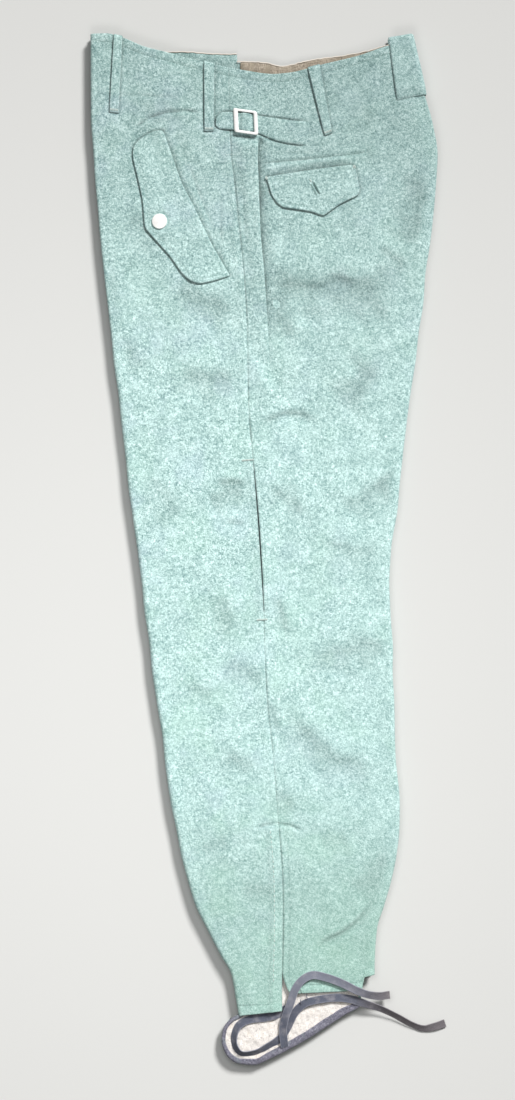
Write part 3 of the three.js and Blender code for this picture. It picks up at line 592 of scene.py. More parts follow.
def wool(name, painted_light_gain=1.0):
    """Napped melange wool: pale and dark fibres felted together, with cloudy tints, and painted light and shade."""
    s = Nodes(name)
    dark, mid, pale = srgb(98, 132, 131), srgb(162, 192, 189), srgb(218, 243, 240)
    clots = s.noise(0.34, 3.0, 0.62, distortion=0.6)
    specks = s.noise(0.95, 2.0, 0.6, offset=(13, 5, 2))
    fibres = s.noise(1.9, 3.0, 0.7, stretch=(1.0, 0.35, 1.0), offset=(3, 70, 9))
    mids = s.noise(0.14, 2.0, 0.6, offset=(31, 8, 2), distortion=0.4)
    lows = s.noise(0.047, 3.0, 0.55, offset=(3, 18, 2))
    y, x = s.axis(1), s.axis(0)
    amount = None
    for layer, k in ((clots, 1.55), (specks, 1.65), (fibres, 0.9), (mids, 0.24), (lows, 0.42)):
        part = s.math("MULTIPLY", s.math("SUBTRACT", layer, 0.5), k)
        amount = part if amount is None else s.math("ADD", amount, part)
    calm = s.math("MULTIPLY", s.remap(y, -520, 0, 0.78, 1.05), s.remap(x, 150, -60, 0.92, 1.05))
    f = s.math("ADD", s.math("MULTIPLY", amount, calm), 0.5, clamp=True)
    color = s.mix(s.remap(f, 0.0, 0.5, 0, 1, "LINEAR"), dark, mid)
    color = s.mix(s.remap(f, 0.5, 1.0, 0, 1, "LINEAR"), color, pale)
    # single near-white and dark teal fibres
    white = s.remap(s.noise(1.15, 2.0, 0.6, offset=(60, 4, 8)), 0.62, 0.74)
    color = s.mix(s.math("MULTIPLY", white, 0.5), color, srgb(232, 250, 246))
    teal = s.remap(s.noise(0.8, 3.0, 0.6, offset=(7, 44, 8)), 0.61, 0.74)
    color = s.mix(s.math("MULTIPLY", teal, 0.45), color, srgb(84, 122, 120))
    # cloudy tints, partly the cloth's own tone and partly painted light and shade: lilac grey, green, and a darker
    # green low on the back of the leg
    lilac = s.remap(s.noise(0.026, 2.0, 0.5, offset=(40, 11, 0)), 0.5, 0.72)
    lilac = s.math("MULTIPLY", lilac, s.remap(x, 60, -80, 0.45, 1.0))
    color = s.mix(s.math("MULTIPLY", lilac, 0.3), color, s.mix(0.5, color, srgb(178, 192, 214)))
    green = s.remap(s.noise(0.021, 2.0, 0.5, offset=(90, 31, 4)), 0.48, 0.7)
    green = s.math("MULTIPLY", green, s.remap(y, 300, -300, 0.35, 1.0))
    color = s.mix(s.math("MULTIPLY", green, 0.3), color, s.mix(0.5, color, srgb(160, 204, 178)))
    low = s.remap(y, -250, -480, 0.0, 0.6)
    right = s.math("MULTIPLY", low, s.remap(x, -40, 90, 0.6, 1.0))
    color = s.mix(right, color, s.mix(0.5, color, srgb(148, 192, 162)))
    # painted light and shade: paler on the thigh and the knee and darker towards the waist and the ankle, as the lamps'
    # falloff would make it, a little darker at the seat, and each copy scaled by painted_light_gain
    fade = s.math("MULTIPLY", s.remap(y, 110, 540, 1.0, 0.78), s.remap(y, -230, -430, 1.0, 0.84))
    seat = s.math("MULTIPLY", s.remap(x, -60, 60, 0.0, 0.06), s.remap(y, 360, 470, 0.0, 1.0))
    fade = s.math("MULTIPLY", s.math("SUBTRACT", fade, seat), painted_light_gain)
    # painted shade: darker in the hollows of folds, seams and edges, read from the hollow attribute
    fade = s.math("MULTIPLY", fade, s.remap(s.attribute("hollow"), 0.0, 1.0, 1.0, 0.4, "LINEAR"))
    grey = s.t.nodes.new("ShaderNodeCombineXYZ")
    for k in range(3):
        s.link(fade, grey.inputs[k])
    color = s.mix(1.0, color, grey.outputs[0], "MULTIPLY")
    height = s.math("ADD", s.math("MULTIPLY", fibres, 0.6), s.math("MULTIPLY", specks, 0.9))
    coarse = s.bump(s.math("ADD", clots, s.math("MULTIPLY", mids, 0.6)), 0.55, 0.6)
    normal = s.bump(height, 0.75, 0.45, coarse)
    return s.finish(color, 0.94, normal, sheen=0.2, sheen_rough=0.55, sheen_tint=srgb(225, 240, 238), spec=0.15)


def turning():
    """The hem's turned edge: the wool seen in shadow, its dark lilac grey a painted shade."""
    s = Nodes("hem_turning")
    clots = s.noise(0.4, 3.0, 0.65, distortion=0.5)
    specks = s.noise(1.1, 2.0, 0.6, offset=(3, 5, 2))
    f = s.math("ADD", s.math("MULTIPLY", s.math("SUBTRACT", clots, 0.5), 2.2), s.math("MULTIPLY", s.math("SUBTRACT", specks, 0.5), 1.8))
    f = s.math("ADD", f, 0.5, clamp=True)
    c = s.mix(s.remap(f, 0, 0.5, 0, 1, "LINEAR"), srgb(78, 78, 90), srgb(110, 109, 122))
    c = s.mix(s.remap(f, 0.5, 1, 0, 1, "LINEAR"), c, srgb(142, 141, 152))
    green = s.remap(s.noise(0.09, 2.0, 0.5, offset=(9, 1, 4)), 0.5, 0.75)
    c = s.mix(s.math("MULTIPLY", green, 0.35), c, srgb(126, 142, 140))
    return s.finish(c, 0.94, s.bump(clots, 0.8, 0.8, s.bump(specks, 0.6, 0.4)), sheen=0.15, spec=0.15)


def thread(name, color):
    s = Nodes(name)
    c = s.mix(s.noise(1.4, 2.0), color, tuple(v * 0.72 for v in color[:3]) + (1.0,))
    return s.finish(c, 0.8, s.bump(s.noise(3.5, 2.0), 0.5, 0.15), spec=0.25)


def lining_cloth():
    s = Nodes("beige_lining")
    warp = s.noise(1.0, 1.0, 0.5, stretch=(2.6, 0.25, 1))
    weft = s.noise(1.0, 1.0, 0.5, stretch=(0.25, 2.6, 1), offset=(7, 3, 1))
    weave = s.math("ADD", warp, weft)
    c = s.mix(s.remap(weave, 0.75, 1.25), srgb(116, 106, 94), srgb(182, 170, 154))
    c = s.mix(s.remap(s.noise(0.09, 3.0), 0.4, 0.7), c, srgb(140, 130, 114))
    return s.finish(c, 0.85, s.bump(weave, 0.5, 0.2), sheen=0.1, spec=0.2)


def facing_cloth():
    s = Nodes("white_facing")
    warp = s.noise(1.0, 1.0, 0.5, stretch=(2.2, 0.3, 1))
    weft = s.noise(1.0, 1.0, 0.5, stretch=(0.3, 2.2, 1), offset=(7, 3, 1))
    weave = s.math("ADD", warp, weft)
    c = s.mix(s.remap(weave, 0.7, 1.3), srgb(196, 190, 186), srgb(232, 227, 221))
    flecks = s.remap(s.noise(0.62, 2.0, 0.6, offset=(1, 9, 4)), 0.63, 0.72)
    c = s.mix(s.math("MULTIPLY", flecks, 0.9), c, srgb(96, 88, 90))
    warm = s.remap(s.noise(0.16, 2.0, 0.6, offset=(31, 2, 4)), 0.5, 0.8)
    c = s.mix(s.math("MULTIPLY", warm, 0.3), c, srgb(206, 190, 168))
    return s.finish(c, 0.88, s.bump(weave, 0.5, 0.25), sheen=0.1, spec=0.2)


def tape_cloth():
    """Herringbone tape, its weave following the ribbon: u along in mm, v across in mm."""
    s = Nodes("slate_tape")
    uv = s.t.nodes.new("ShaderNodeUVMap")
    uv.uv_map = "along"
    sep = s.t.nodes.new("ShaderNodeSeparateXYZ")
    s.link(uv.outputs[0], sep.inputs[0])
    u, v = sep.outputs[0], sep.outputs[1]
    zig = s.math("PINGPONG", v, 1.5)
    rib = s.math("SINE", s.math("MULTIPLY", s.math("ADD", u, s.math("MULTIPLY", zig, 0.9)), 2 * math.pi / 0.95))
    rib01 = s.remap(rib, -1, 1, 0, 1, "LINEAR")
    # painted highlight: paler along both edges, where the cupped tape catches the light
    edge = s.remap(s.math("ABSOLUTE", s.math("SUBTRACT", v, 4.5)), 3.5, 4.2)
    c = s.mix(rib01, srgb(54, 58, 70), srgb(100, 104, 118))
    c = s.mix(s.math("MULTIPLY", edge, 0.5), c, srgb(156, 158, 170))
    worn = s.remap(s.noise(0.12, 3.0, 0.6), 0.45, 0.75)
    c = s.mix(s.math("MULTIPLY", worn, 0.45), c, srgb(150, 146, 150))
    brown = s.remap(s.axis(0), 80, 150)
    c = s.mix(s.math("MULTIPLY", brown, 0.6), c, s.mix(rib01, srgb(92, 84, 84), srgb(138, 128, 126)))
    pale_ = s.remap(s.axis(2), 15.5, 18.5)
    c = s.mix(s.math("MULTIPLY", pale_, 0.35), c, srgb(150, 152, 164))
    return s.finish(c, 0.86, s.bump(rib01, 0.7, 0.22), sheen=0.15, spec=0.25)


def metal():
    s = Nodes("pale_metal")
    scuff = s.noise(0.5, 4.0, 0.65, stretch=(1, 3, 1))
    c = s.mix(s.remap(scuff, 0.45, 0.8), srgb(246, 245, 242), srgb(208, 204, 204))
    rough = s.remap(scuff, 0.3, 0.8, 0.3, 0.5, "LINEAR")
    return s.finish(c, rough, s.bump(s.noise(1.6, 3.0), 0.12, 0.1), metallic=0.25, spec=0.6)


def plain(name, color, rough=0.9):
    s = Nodes(name)
    c = s.mix(s.noise(0.8, 2.0), color, tuple(v * 0.85 for v in color[:3]) + (1.0,))
    return s.finish(c, rough, s.bump(s.noise(2.2, 2.0), 0.3, 0.2))


WOOL = wool("wool")
# painted light and shade: the lower half's wool is a darker copy, the flaps, strap and loops lighter copies, as if lit
# from above
WOOL_UNDER = wool("wool_under", 0.96)
WOOL_FLAP = wool("wool_flaps", 1.05)
WOOL_LOOP = wool("wool_loops", 1.08)
# painted shade: the hem's turning is coloured as the wool seen in shadow
WOOL_RIM = turning()
THREAD = thread("thread", srgb(150, 182, 176))
THREAD_PALE = thread("thread_pale", srgb(214, 226, 220))
THREAD_CREAM = thread("cream_edge", srgb(226, 216, 204))
THREAD_GREY = thread("thread_grey", srgb(104, 104, 118))
LINING = lining_cloth()
FACING = facing_cloth()
TAPE = tape_cloth()
METAL = metal()


# ---------------------------------------------------------------- leg panels
def seam_x(y, front, upper):
    x = side_seam(y) + (-0.05 if front else 0.05)
    k = np.clip((y - KNEE[0]) / (KNEE[1] - KNEE[0]), 0, 1)
    x = x + (-0.5 if front else 0.5) * KNEE[2] * np.sin(np.pi * k) ** 0.7
    if not upper:
        x = x + smooth((y - 400) / 140) * (FAR_SEAM_AT_WAIST - float(side_seam(WAIST_REF)))
    if upper and not front:
        x = x + HEM_SLIT[2] * np.clip((HEM_SLIT[0] - y) / (HEM_SLIT[0] - HEM_SLIT[1]), 0, 1) ** 1.7
    return x


def fold_x(y, front, upper):
    inset = 0.0 if upper else 1.5 * smooth((440 - y) / 60)
    wander = 0.45 * N5(y / 34, 2.0 if front else 9.0) * smooth((y + 480) / 60) * smooth((540 - y) / 40)
    return front_fold(y) + inset + wander if front else back_fold(y) - inset + wander


def shaped(yr, x, front, upper):
    up = smooth((yr - 400) / (WAIST_REF - 400))
    down = smooth((-418.5 - yr) / (-418.5 - HEM_REF))
    waist = waist_near if upper else waist_far_front if front else waist_far_back
    hem = (hem_front if front else hem_back)(x) if upper else UNDER_HEM
    return yr + up * (waist(x) - WAIST_REF) + down * (hem - HEM_REF)


# distance from the pleat's edge, on flat cloth and on the folded pleat, and the fold's height
PLEAT_ROWS = [
    (-7, -7, 2.45), (-4.6, -4.4, 2.75), (-3.2, -2.7, 2.9), (-2.2, -1.5, 2.8), (-1.5, -0.7, 2.5),
    (-1.0, -0.2, 2.05), (-0.6, 0.05, 1.5), (-0.3, -0.15, 0.9), (0.0, -0.9, 0.3), (0.3, -1.5, -0.5),
    (0.6, -1.4, -1.3), (0.9, -0.8, -1.75), (1.3, 0.2, -1.9), (1.9, 1.2, -1.6), (3.0, 2.5, -1.05),
    (4.6, 4.3, -0.75), (6.6, 6.5, -0.5), (9.0, 9.2, -0.3), (12, 12.2, -0.12), (15.5, 15.6, 0.0),
]


def thin_wall(outer, inner, rows, cols):
    """Closed wall whose hidden side has only some of the seen side's rows and columns."""
    m, n, _ = outer.shape
    idx, top = faces_of_grid(m, n)
    inn, low = faces_of_grid(len(rows), len(cols))
    inn = inn + m * n
    rims = []
    for a, b, i, j in zip(cols[:-1], cols[1:], inn[0, :-1], inn[0, 1:]):
        rims.append([*idx[0, a:b + 1][::-1].tolist(), int(i), int(j)])
    for a, b, i, j in zip(cols[:-1], cols[1:], inn[-1, :-1], inn[-1, 1:]):
        rims.append([*idx[-1, a:b + 1].tolist(), int(j), int(i)])
    for a, b, i, j in zip(rows[:-1], rows[1:], inn[:-1, 0], inn[1:, 0]):
        rims.append([*idx[a:b + 1, 0].tolist(), int(j), int(i)])
    for a, b, i, j in zip(rows[:-1], rows[1:], inn[:-1, -1], inn[1:, -1]):
        rims.append([*idx[a:b + 1, -1][::-1].tolist(), int(i), int(j)])
    verts = np.concatenate([outer.reshape(-1, 3), inner[rows][:, cols].reshape(-1, 3)])
    return verts, [top, low[:, ::-1] + m * n, rims]


def leg_panel(front, upper):
    out = 1.0 if upper else -1.0
    inward = 1.0 if front else -1.0
    edge = np.array([0, 0.25, 0.6, 1.1, 1.9])
    if upper:
        mid_rows = np.concatenate([np.arange(HEM_REF + 3.0, -300, 2.0), np.arange(-299, 285, 2.5), np.arange(286.5, WAIST_REF - 3.0, 1.3)])
    else:
        mid_rows = np.arange(HEM_REF + 3.2, WAIST_REF - 3.2, 3.6)
    yr = np.concatenate([HEM_REF + edge, mid_rows, (WAIST_REF - edge)[::-1]])
    m = len(yr)
    col = yr[:, None]
    near = np.array([0, 0.3, 0.7, 1.2, 1.9, 2.8, 4.0, 5.4, 7.0, 9.0, 11.4, 14])
    if upper:
        shares = np.linspace(0, 1, 88 if front else 86)[1:]
    else:
        near, shares = np.array([0, 0.7, 1.9, 4.0, 7.0, 10.4, 14]), np.linspace(0, 1, 42)[1:]

    def place(xfun):
        y = col.astype(float)
        for _ in range(4):
            x = xfun(y)
            y = shaped(col, x, front, upper)
        return x, y

    zb = mid_at(yr) + out * HALF_GAP
    face = np.full(m, TOP) if upper else base_at(yr)
    radius = np.abs(face - zb) / 2
    r = radius[:, None]
    S = lambda y: seam_x(y, front, upper)
    F = lambda y: fold_x(y, front, upper) + inward * r
    off, high = pleat_off(yr)[:, None], np.clip(pleat_high(yr), 0, 1)[:, None]
    P = lambda y: side_seam(y) + off + (S(y) - side_seam(y) - 0.05 if not upper else 0)
    xs, ys, plies = [], [], []

    def add(fun, ply=0.0):
        x, y = place(fun)
        xs.append(x), ys.append(y), plies.append(ply * np.ones_like(x))

    if front:
        for d in near:
            add(lambda q, d=d: S(q) - d)
        for t in shares:
            add(lambda q, t=t: lerp(S(q) - near[-1], F(q), t))
    else:
        for d in near:
            add(lambda q, d=d: S(q) + d, 2.35 * high * smooth(d / 15))
        for t in (0.34, 0.67):
            add(lambda q, t=t: lerp(S(q) + near[-1], P(q) - 7, t), 2.35 * high)
        for plain_, folded, z in PLEAT_ROWS:
            add(lambda q, a=plain_, b=folded: P(q) + lerp(a, b, smooth(high / 0.5)), z * high)
        for t in shares:
            add(lambda q, t=t: lerp(P(q) + 15.6, F(q), t))
    X, Y, ply = np.hstack(xs), np.hstack(ys), np.hstack(plies)
    seam_here = seam_x(Y, front, upper)
    rel = soft(X, Y)
    to_fold = np.abs(X - fold_x(Y, front, upper)) - r
    rel = rel * smooth(to_fold / 14) * np.where(to_fold > 0, 1, 0)
    fin = fine(X, Y, seam_here, front) + ply
    # painted shade: the hollow attribute darkens creases, seam grooves, pressed lines, the knee slit's lips and the
    # hollows round laid pieces
    wide = np.clip(-troughs(X, Y) / 3.4, 0, 1) ** 0.9 * np.where(to_fold > 0, smooth(to_fold / 14), 0)
    slit_k = np.clip((Y - KNEE[0]) / (KNEE[1] - KNEE[0]), 0, 1)
    lips = 0.45 * np.exp(-((np.abs(X - seam_here) / 1.2) ** 2)) * (slit_k > 0) * (slit_k < 1)
    hollow = np.clip(0.85 * np.clip(-fin / 1.5, 0, 1) * (0.85 + 0.3 * N4(X / 8, Y / 14)) + lips + 0.4 * wide, 0, 0.92)
    # turned edges at waist and hem: a soft ridge, a stitch channel and a rounded rim
    to_waist, to_hem = WAIST_REF - col, col - HEM_REF
    fin = fin + 0.35 * smooth((12 - to_waist) / 6) * np.ones_like(X) - 0.45 * np.exp(-(((to_waist - 9) / 1.2) ** 2))
    fin = fin + 0.5 * smooth((9 - to_hem) / 5) - 0.45 * np.exp(-(((to_hem - 9.5) / 1.2) ** 2))
    e = np.minimum(to_waist, to_hem)
    rim = 0.9 * (1 - np.sqrt(np.clip(1 - (1 - np.clip(e / 0.95, 0, 1)) ** 2, 0, 1)))
    f = face[:, None]
    zo = f + out * (rel + fin - rim)
    floor_ = (zb + CLOTH + 0.2)[:, None]
    if upper:
        zi = np.maximum(f - CLOTH + rel * 0.9 + np.minimum(fin, 0) * 0.5 + rim, floor_)
        zi = np.minimum(zi, zo - 0.4)
        zi = np.minimum(zi, f - CLOTH + 1.2)
    else:
        # the lower half is pressed flat where it rests
        press = 1 - rise(Y)
        plain = f - (rel + fin - rim)
        flat = f + press * np.clip(1.0 - 0.8 * rel - 0.6 * fin, 0, 3) * 0.55 + rim
        zo = np.maximum(lerp(plain, flat, smooth(press * 1.6)), 0.06)
        zi = f + CLOTH - rel * 0.9 * (1 - press) - np.minimum(fin, 0) * 0.3 - rim
        zi = np.maximum(zi, zo + 0.5)
    outer = [np.stack([X, Y, zo], -1)]
    inner = [np.stack([X, Y, zi], -1)]
    # round the crease
    fx0 = fold_x(yr, front, upper)
    ey = shaped(yr, fx0, front, upper)
    fx = fold_x(ey, front, upper)
    zc = (face + zb) / 2
    ri = np.maximum(radius - CLOTH, 0.4)
    rimc = rim[:, 0]
    for deg in np.linspace(90, -90, 11)[1:-1]:
        a = math.radians(deg)
        xo = fx + inward * (radius - (radius - rimc) * math.cos(a))
        z1 = zc + out * (radius - rimc) * math.sin(a)
        xi = fx + inward * (radius - ri * math.cos(a))
        z2 = zc + out * ri * math.sin(a)
        outer.append(np.stack([xo, ey, z1], -1)[:, None])
        inner.append(np.stack([xi, ey, z2], -1)[:, None])
    # along the inside of the leg
    x0 = fx + inward * radius
    inseam = side_seam(yr) - inward * 0.25
    lip = x0 + inward * LIP
    climb = np.clip((yr - CROTCH) / ((FRONT_RISE if front else BACK_RISE) - CROTCH), 0, 1)
    x1 = lip + (inseam - lip) * (1 - climb) ** 2
    down = smooth((-440 - yr) / (-440 - HEM_REF)) if upper else np.zeros(m)
    up = smooth((yr - 400) / (WAIST_REF - 400))
    hem_x = table(HEM_INNER_FRONT if front else HEM_INNER_BACK, 0, 1)
    hem_y = table(HEM_INNER_FRONT if front else HEM_INNER_BACK, 0, 2)
    for t in np.linspace(0, 1, 25 if upper else 13):
        x = lerp(x0, x1, t)
        y = lerp(ey, yr + up * (ey - yr), t) if upper else shaped(yr, x, front, upper)
        hx = hem_x(t) + (inward * 0.9 if t == 0 else 0)
        x, y = lerp(x, hx, down), lerp(y, hem_y(t), down)
        if upper:
            # it stays behind the outside of the leg until it is past its hem
            bound = fold_x(np.maximum(y, -512.0 if front else -468.0), front, True) + inward * 1.6
            past = smooth(((-512.5 if front else -468.0) - y) / 4.5)
            x = np.where(inward * (x - bound) < 0, lerp(bound, x, past), x)
        lift = (0.25 * N4(x / 9, y / 9) + 0.3 * N3(x / 15, y / 15)) * down if upper else 0 * x
        outer.append(np.stack([x, y, zb + out * rimc * 0.9], -1)[:, None])
        inner.append(np.stack([x, y, zb + out * (CLOTH - rimc * 0.9) + np.clip(lift, 0, 1)], -1)[:, None])
    O, I = np.concatenate(outer, 1), np.concatenate(inner, 1)
    mm, nn = O.shape[:2]
    name = ("left_" if upper else "right_") + ("front" if front else "back")
    if upper:
        low_rows = int(np.searchsorted(yr, -440.0))  # where the inner leaf widens to the hem
        rows = sorted({mm - 1, mm - 2, mm - 3, mm - 4, *range(low_rows), *range(low_rows, mm - 4, 4)})
        skip = X.shape[1]
        cols = sorted({0, 3, 6, *range(9, skip, 3), skip - 1, *range(skip, nn)})
        v, fcs = thin_wall(O, I, rows, cols)
    else:
        v, fcs = wall(O, I)
    shade = np.zeros(len(v))
    shade[:mm * nn].reshape(mm, nn)[:, :X.shape[1]] = hollow
    return piece(name + "_cloth", v, fcs, WOOL if upper else WOOL_UNDER, [name], hollow=shade)


for up in (True, False):
    for fr in (True, False):
        leg_panel(fr, up)


# ---------------------------------------------------------------- plates cut to an outline
def round_corners(outline, r):
    pts = np.array(outline, float)
    n = len(pts)
    made = []
    for i in range(n):
        p, a, b = pts[i], pts[i - 1] - pts[i], pts[(i + 1) % n] - pts[i]
        la, lb = np.hypot(*a), np.hypot(*b)
        cut = min(r, la * 0.48, lb * 0.48)
        pa, pb = p + a / la * cut, p + b / lb * cut
        for t in (0, 0.2, 0.4, 0.6, 0.8, 1):
            made.append((1 - t) ** 2 * pa + 2 * t * (1 - t) * p + t * t * pb)
    return np.array(made)


def resample(points, step, closed=True):
    pts = np.array(points, float)
    if closed:
        pts = np.vstack([pts, pts[:1]])
    d = np.hypot(*np.diff(pts, axis=0).T)
    keep = np.concatenate([[True], d > 1e-6])
    pts = pts[keep]
    run = np.concatenate([[0], np.cumsum(np.hypot(*np.diff(pts, axis=0).T))])
    n = max(3, int(round(run[-1] / step)))
    s = np.linspace(0, run[-1], n + 1)
    if closed:
        s = s[:-1]
    return np.stack([np.interp(s, run, pts[:, k]) for k in (0, 1)], -1)


def plate(name, outline, bottom, top, mat, replaces=(), step=1.6, ring_step=1.0, bevel=1.1, corner=2.0, insets=(0.25, 0.6, 1.1, 1.8), flip=False, sharp=None, hollow=None):
    """A sheet cut to an outline. bottom and top are functions of x, y and the distance from the edge."""
    ring = resample(round_corners(outline, corner), ring_step)
    centre_gap = insets[-1] + step * 0.7
    rings = [ring]
    nxt, prv = np.roll(ring, -1, 0), np.roll(ring, 1, 0)
    tangent = nxt - prv
    tangent /= np.hypot(tangent[:, 0], tangent[:, 1])[:, None] + 1e-12
    normal = np.stack([-tangent[:, 1], tangent[:, 0]], -1)
    area = 0.5 * np.sum(ring[:, 0] * nxt[:, 1] - nxt[:, 0] * ring[:, 1])
    if area < 0:
        normal = -normal
    extra = []
    for d in insets:
        q = ring + normal * d
        dist = inside_distance(q[:, 0], q[:, 1], ring)
        extra.append(q[dist > d * 0.86])
    lo, hi = ring.min(0), ring.max(0)
    gx, gy = np.meshgrid(np.arange(lo[0], hi[0], step), np.arange(lo[1], hi[1], step * 0.87))
    gx = gx + (np.arange(gx.shape[0]) % 2)[:, None] * step * 0.5
    dist = inside_distance(gx, gy, ring)
    extra.append(np.stack([gx[dist > centre_gap], gy[dist > centre_gap]], -1))
    flat = np.vstack([ring, *extra])
    n = len(ring)
    res = delaunay_2d_cdt([Vector(p) for p in flat.tolist()], [(i, (i + 1) % n) for i in range(n)], [], 1, 1e-5)
    pts = np.array([(p.x, p.y) for p in res[0]])
    tris = np.array(res[2])
    d = np.maximum(inside_distance(pts[:, 0], pts[:, 1], ring), 0)
    zt, zb = top(pts[:, 0], pts[:, 1], d), bottom(pts[:, 0], pts[:, 1], d)
    k = len(pts)
    # the rim: edges used by one triangle
    edges = {}
    for t in tris:
        for a, b in ((t[0], t[1]), (t[1], t[2]), (t[2], t[0])):
            if (b, a) in edges:
                del edges[(b, a)]
            else:
                edges[(a, b)] = 1
    rim = np.array([(b, a, a + k, b + k) for a, b in edges])
    verts = np.concatenate([np.column_stack([pts, zt]), np.column_stack([pts, zb])])
    faces = [tris, tris[:, ::-1] + k, rim]
    if flip:
        verts = mirrored(verts)
    # painted shade on the top face, stored in the hollow attribute
    shade = None if hollow is None else np.concatenate([hollow(pts[:, 0], pts[:, 1], d), np.zeros(k)])
    return piece(name, verts, faces, mat, replaces, sharp=sharp, hollow=shade)


def rounded_top(t, bevel):
    """Height over a plate's foot: a rounded edge up to its thickness."""
    return lambda d: t * (0.3 + 0.7 * np.sqrt(np.clip(1 - (1 - np.clip(d / bevel, 0, 1)) ** 2, 0, 1)))


def channel(d, at, depth=0.35, width=0.8):
    return -depth * np.exp(-(((d - at) / width) ** 2))


# ---------------------------------------------------------------- stitches
def stitch_mesh(lines, surface, length=2.3, gap=1.0, radius=0.26, sink=0.02):
    """Separate thread stitches along polylines. surface(x, y) is the height that they lie on."""
    verts, faces, k = [], [], 0
    for line in lines:
        pts = np.array(line, float)
        run = np.concatenate([[0], np.cumsum(np.hypot(*np.diff(pts, axis=0).T))])
        count = int(run[-1] // (length + gap))
        if count < 1:
            continue
        pitch = run[-1] / count
        s0 = np.arange(count) * pitch + (pitch - length) / 2
        stations = np.array([0, 0.14, 0.5, 0.86, 1.0])
        rad = radius * np.array([0.0, 0.85, 1.0, 0.85, 0.0])
        drop = np.array([0.35, 0.05, 0.0, 0.05, 0.35]) * radius * 2
        s = s0[:, None] + stations[None] * length
        x, y = np.interp(s, run, pts[:, 0]), np.interp(s, run, pts[:, 1])
        tx, ty = x[:, -1] - x[:, 0], y[:, -1] - y[:, 0]
        norm = np.hypot(tx, ty) + 1e-9
        nx, ny = -ty / norm, tx / norm
        z = surface(x, y) + radius * 0.55 - drop[None] - sink
        for c in range(count):
            base = k
            rows = []
            for q in range(5):
                if rad[q] == 0:
                    verts.append((x[c, q], y[c, q], z[c, q]))
                    rows.append([k])
                    k += 1
                else:
                    ids = []
                    for a in (0, 60, 120, 180, 270):
                        ca, sa = math.cos(math.radians(a)), math.sin(math.radians(a))
                        verts.append((x[c, q] + nx[c] * ca * rad[q], y[c, q] + ny[c] * ca * rad[q], z[c, q] + sa * rad[q]))
                        ids.append(k)
                        k += 1
                    rows.append(ids)
            for q in range(4):
                a, b = rows[q], rows[q + 1]
                for j in range(5):
                    j2 = (j + 1) % 5
                    if len(a) == 1:
                        faces.append((a[0], b[j], b[j2]))
                    elif len(b) == 1:
                        faces.append((a[j], b[0], a[j2]))
                    else:
                        faces.append((a[j], b[j], b[j2]))
                        faces.append((a[j], b[j2], a[j2]))
    return np.array(verts), np.array(faces)


def stitches(name, lines, surface, mat=None, flip=False, **kw):
    v, f = stitch_mesh(lines, surface, **kw)
    if flip:
        v = mirrored(v)
    return piece(name, v, f, mat or THREAD)


def inset_line(outline, d, corner=2.0, step=1.5):
    """The outline moved inwards, as an open list of points round it."""
    ring = resample(round_corners(outline, corner), step)
    nxt, prv = np.roll(ring, -1, 0), np.roll(ring, 1, 0)
    t = nxt - prv
    t /= np.hypot(t[:, 0], t[:, 1])[:, None] + 1e-12
    n = np.stack([-t[:, 1], t[:, 0]], -1)
    if 0.5 * np.sum(ring[:, 0] * nxt[:, 1] - nxt[:, 0] * ring[:, 1]) < 0:
        n = -n
    q = ring + n * d
    dist = inside_distance(q[:, 0], q[:, 1], ring)
    return q[dist > d * 0.93]


# ---------------------------------------------------------------- pieces on both sides
def ground(x, y):
    return TOP + soft(x, y)


def lift_front(x, y):
    """The front flap's free edge stands a little proud."""
    d, _ = to_line(x, y, [(-111, 461.5), (-91, 404.5), (-73.5, 370), (-57, 335), (-38, 302)])
    return 0.45 * smooth((d - 12) / 26) - 0.5 * (1 - smooth(d / 4.5)) - 0.55


def lift_back(x, y):
    d, _ = to_line(x, y, [(1, 410.5), (42, 416.8), (98, 424)])
    return 0.4 * smooth((d - 12) / 30) - 0.5 * (1 - smooth(d / 4.5)) - 0.55


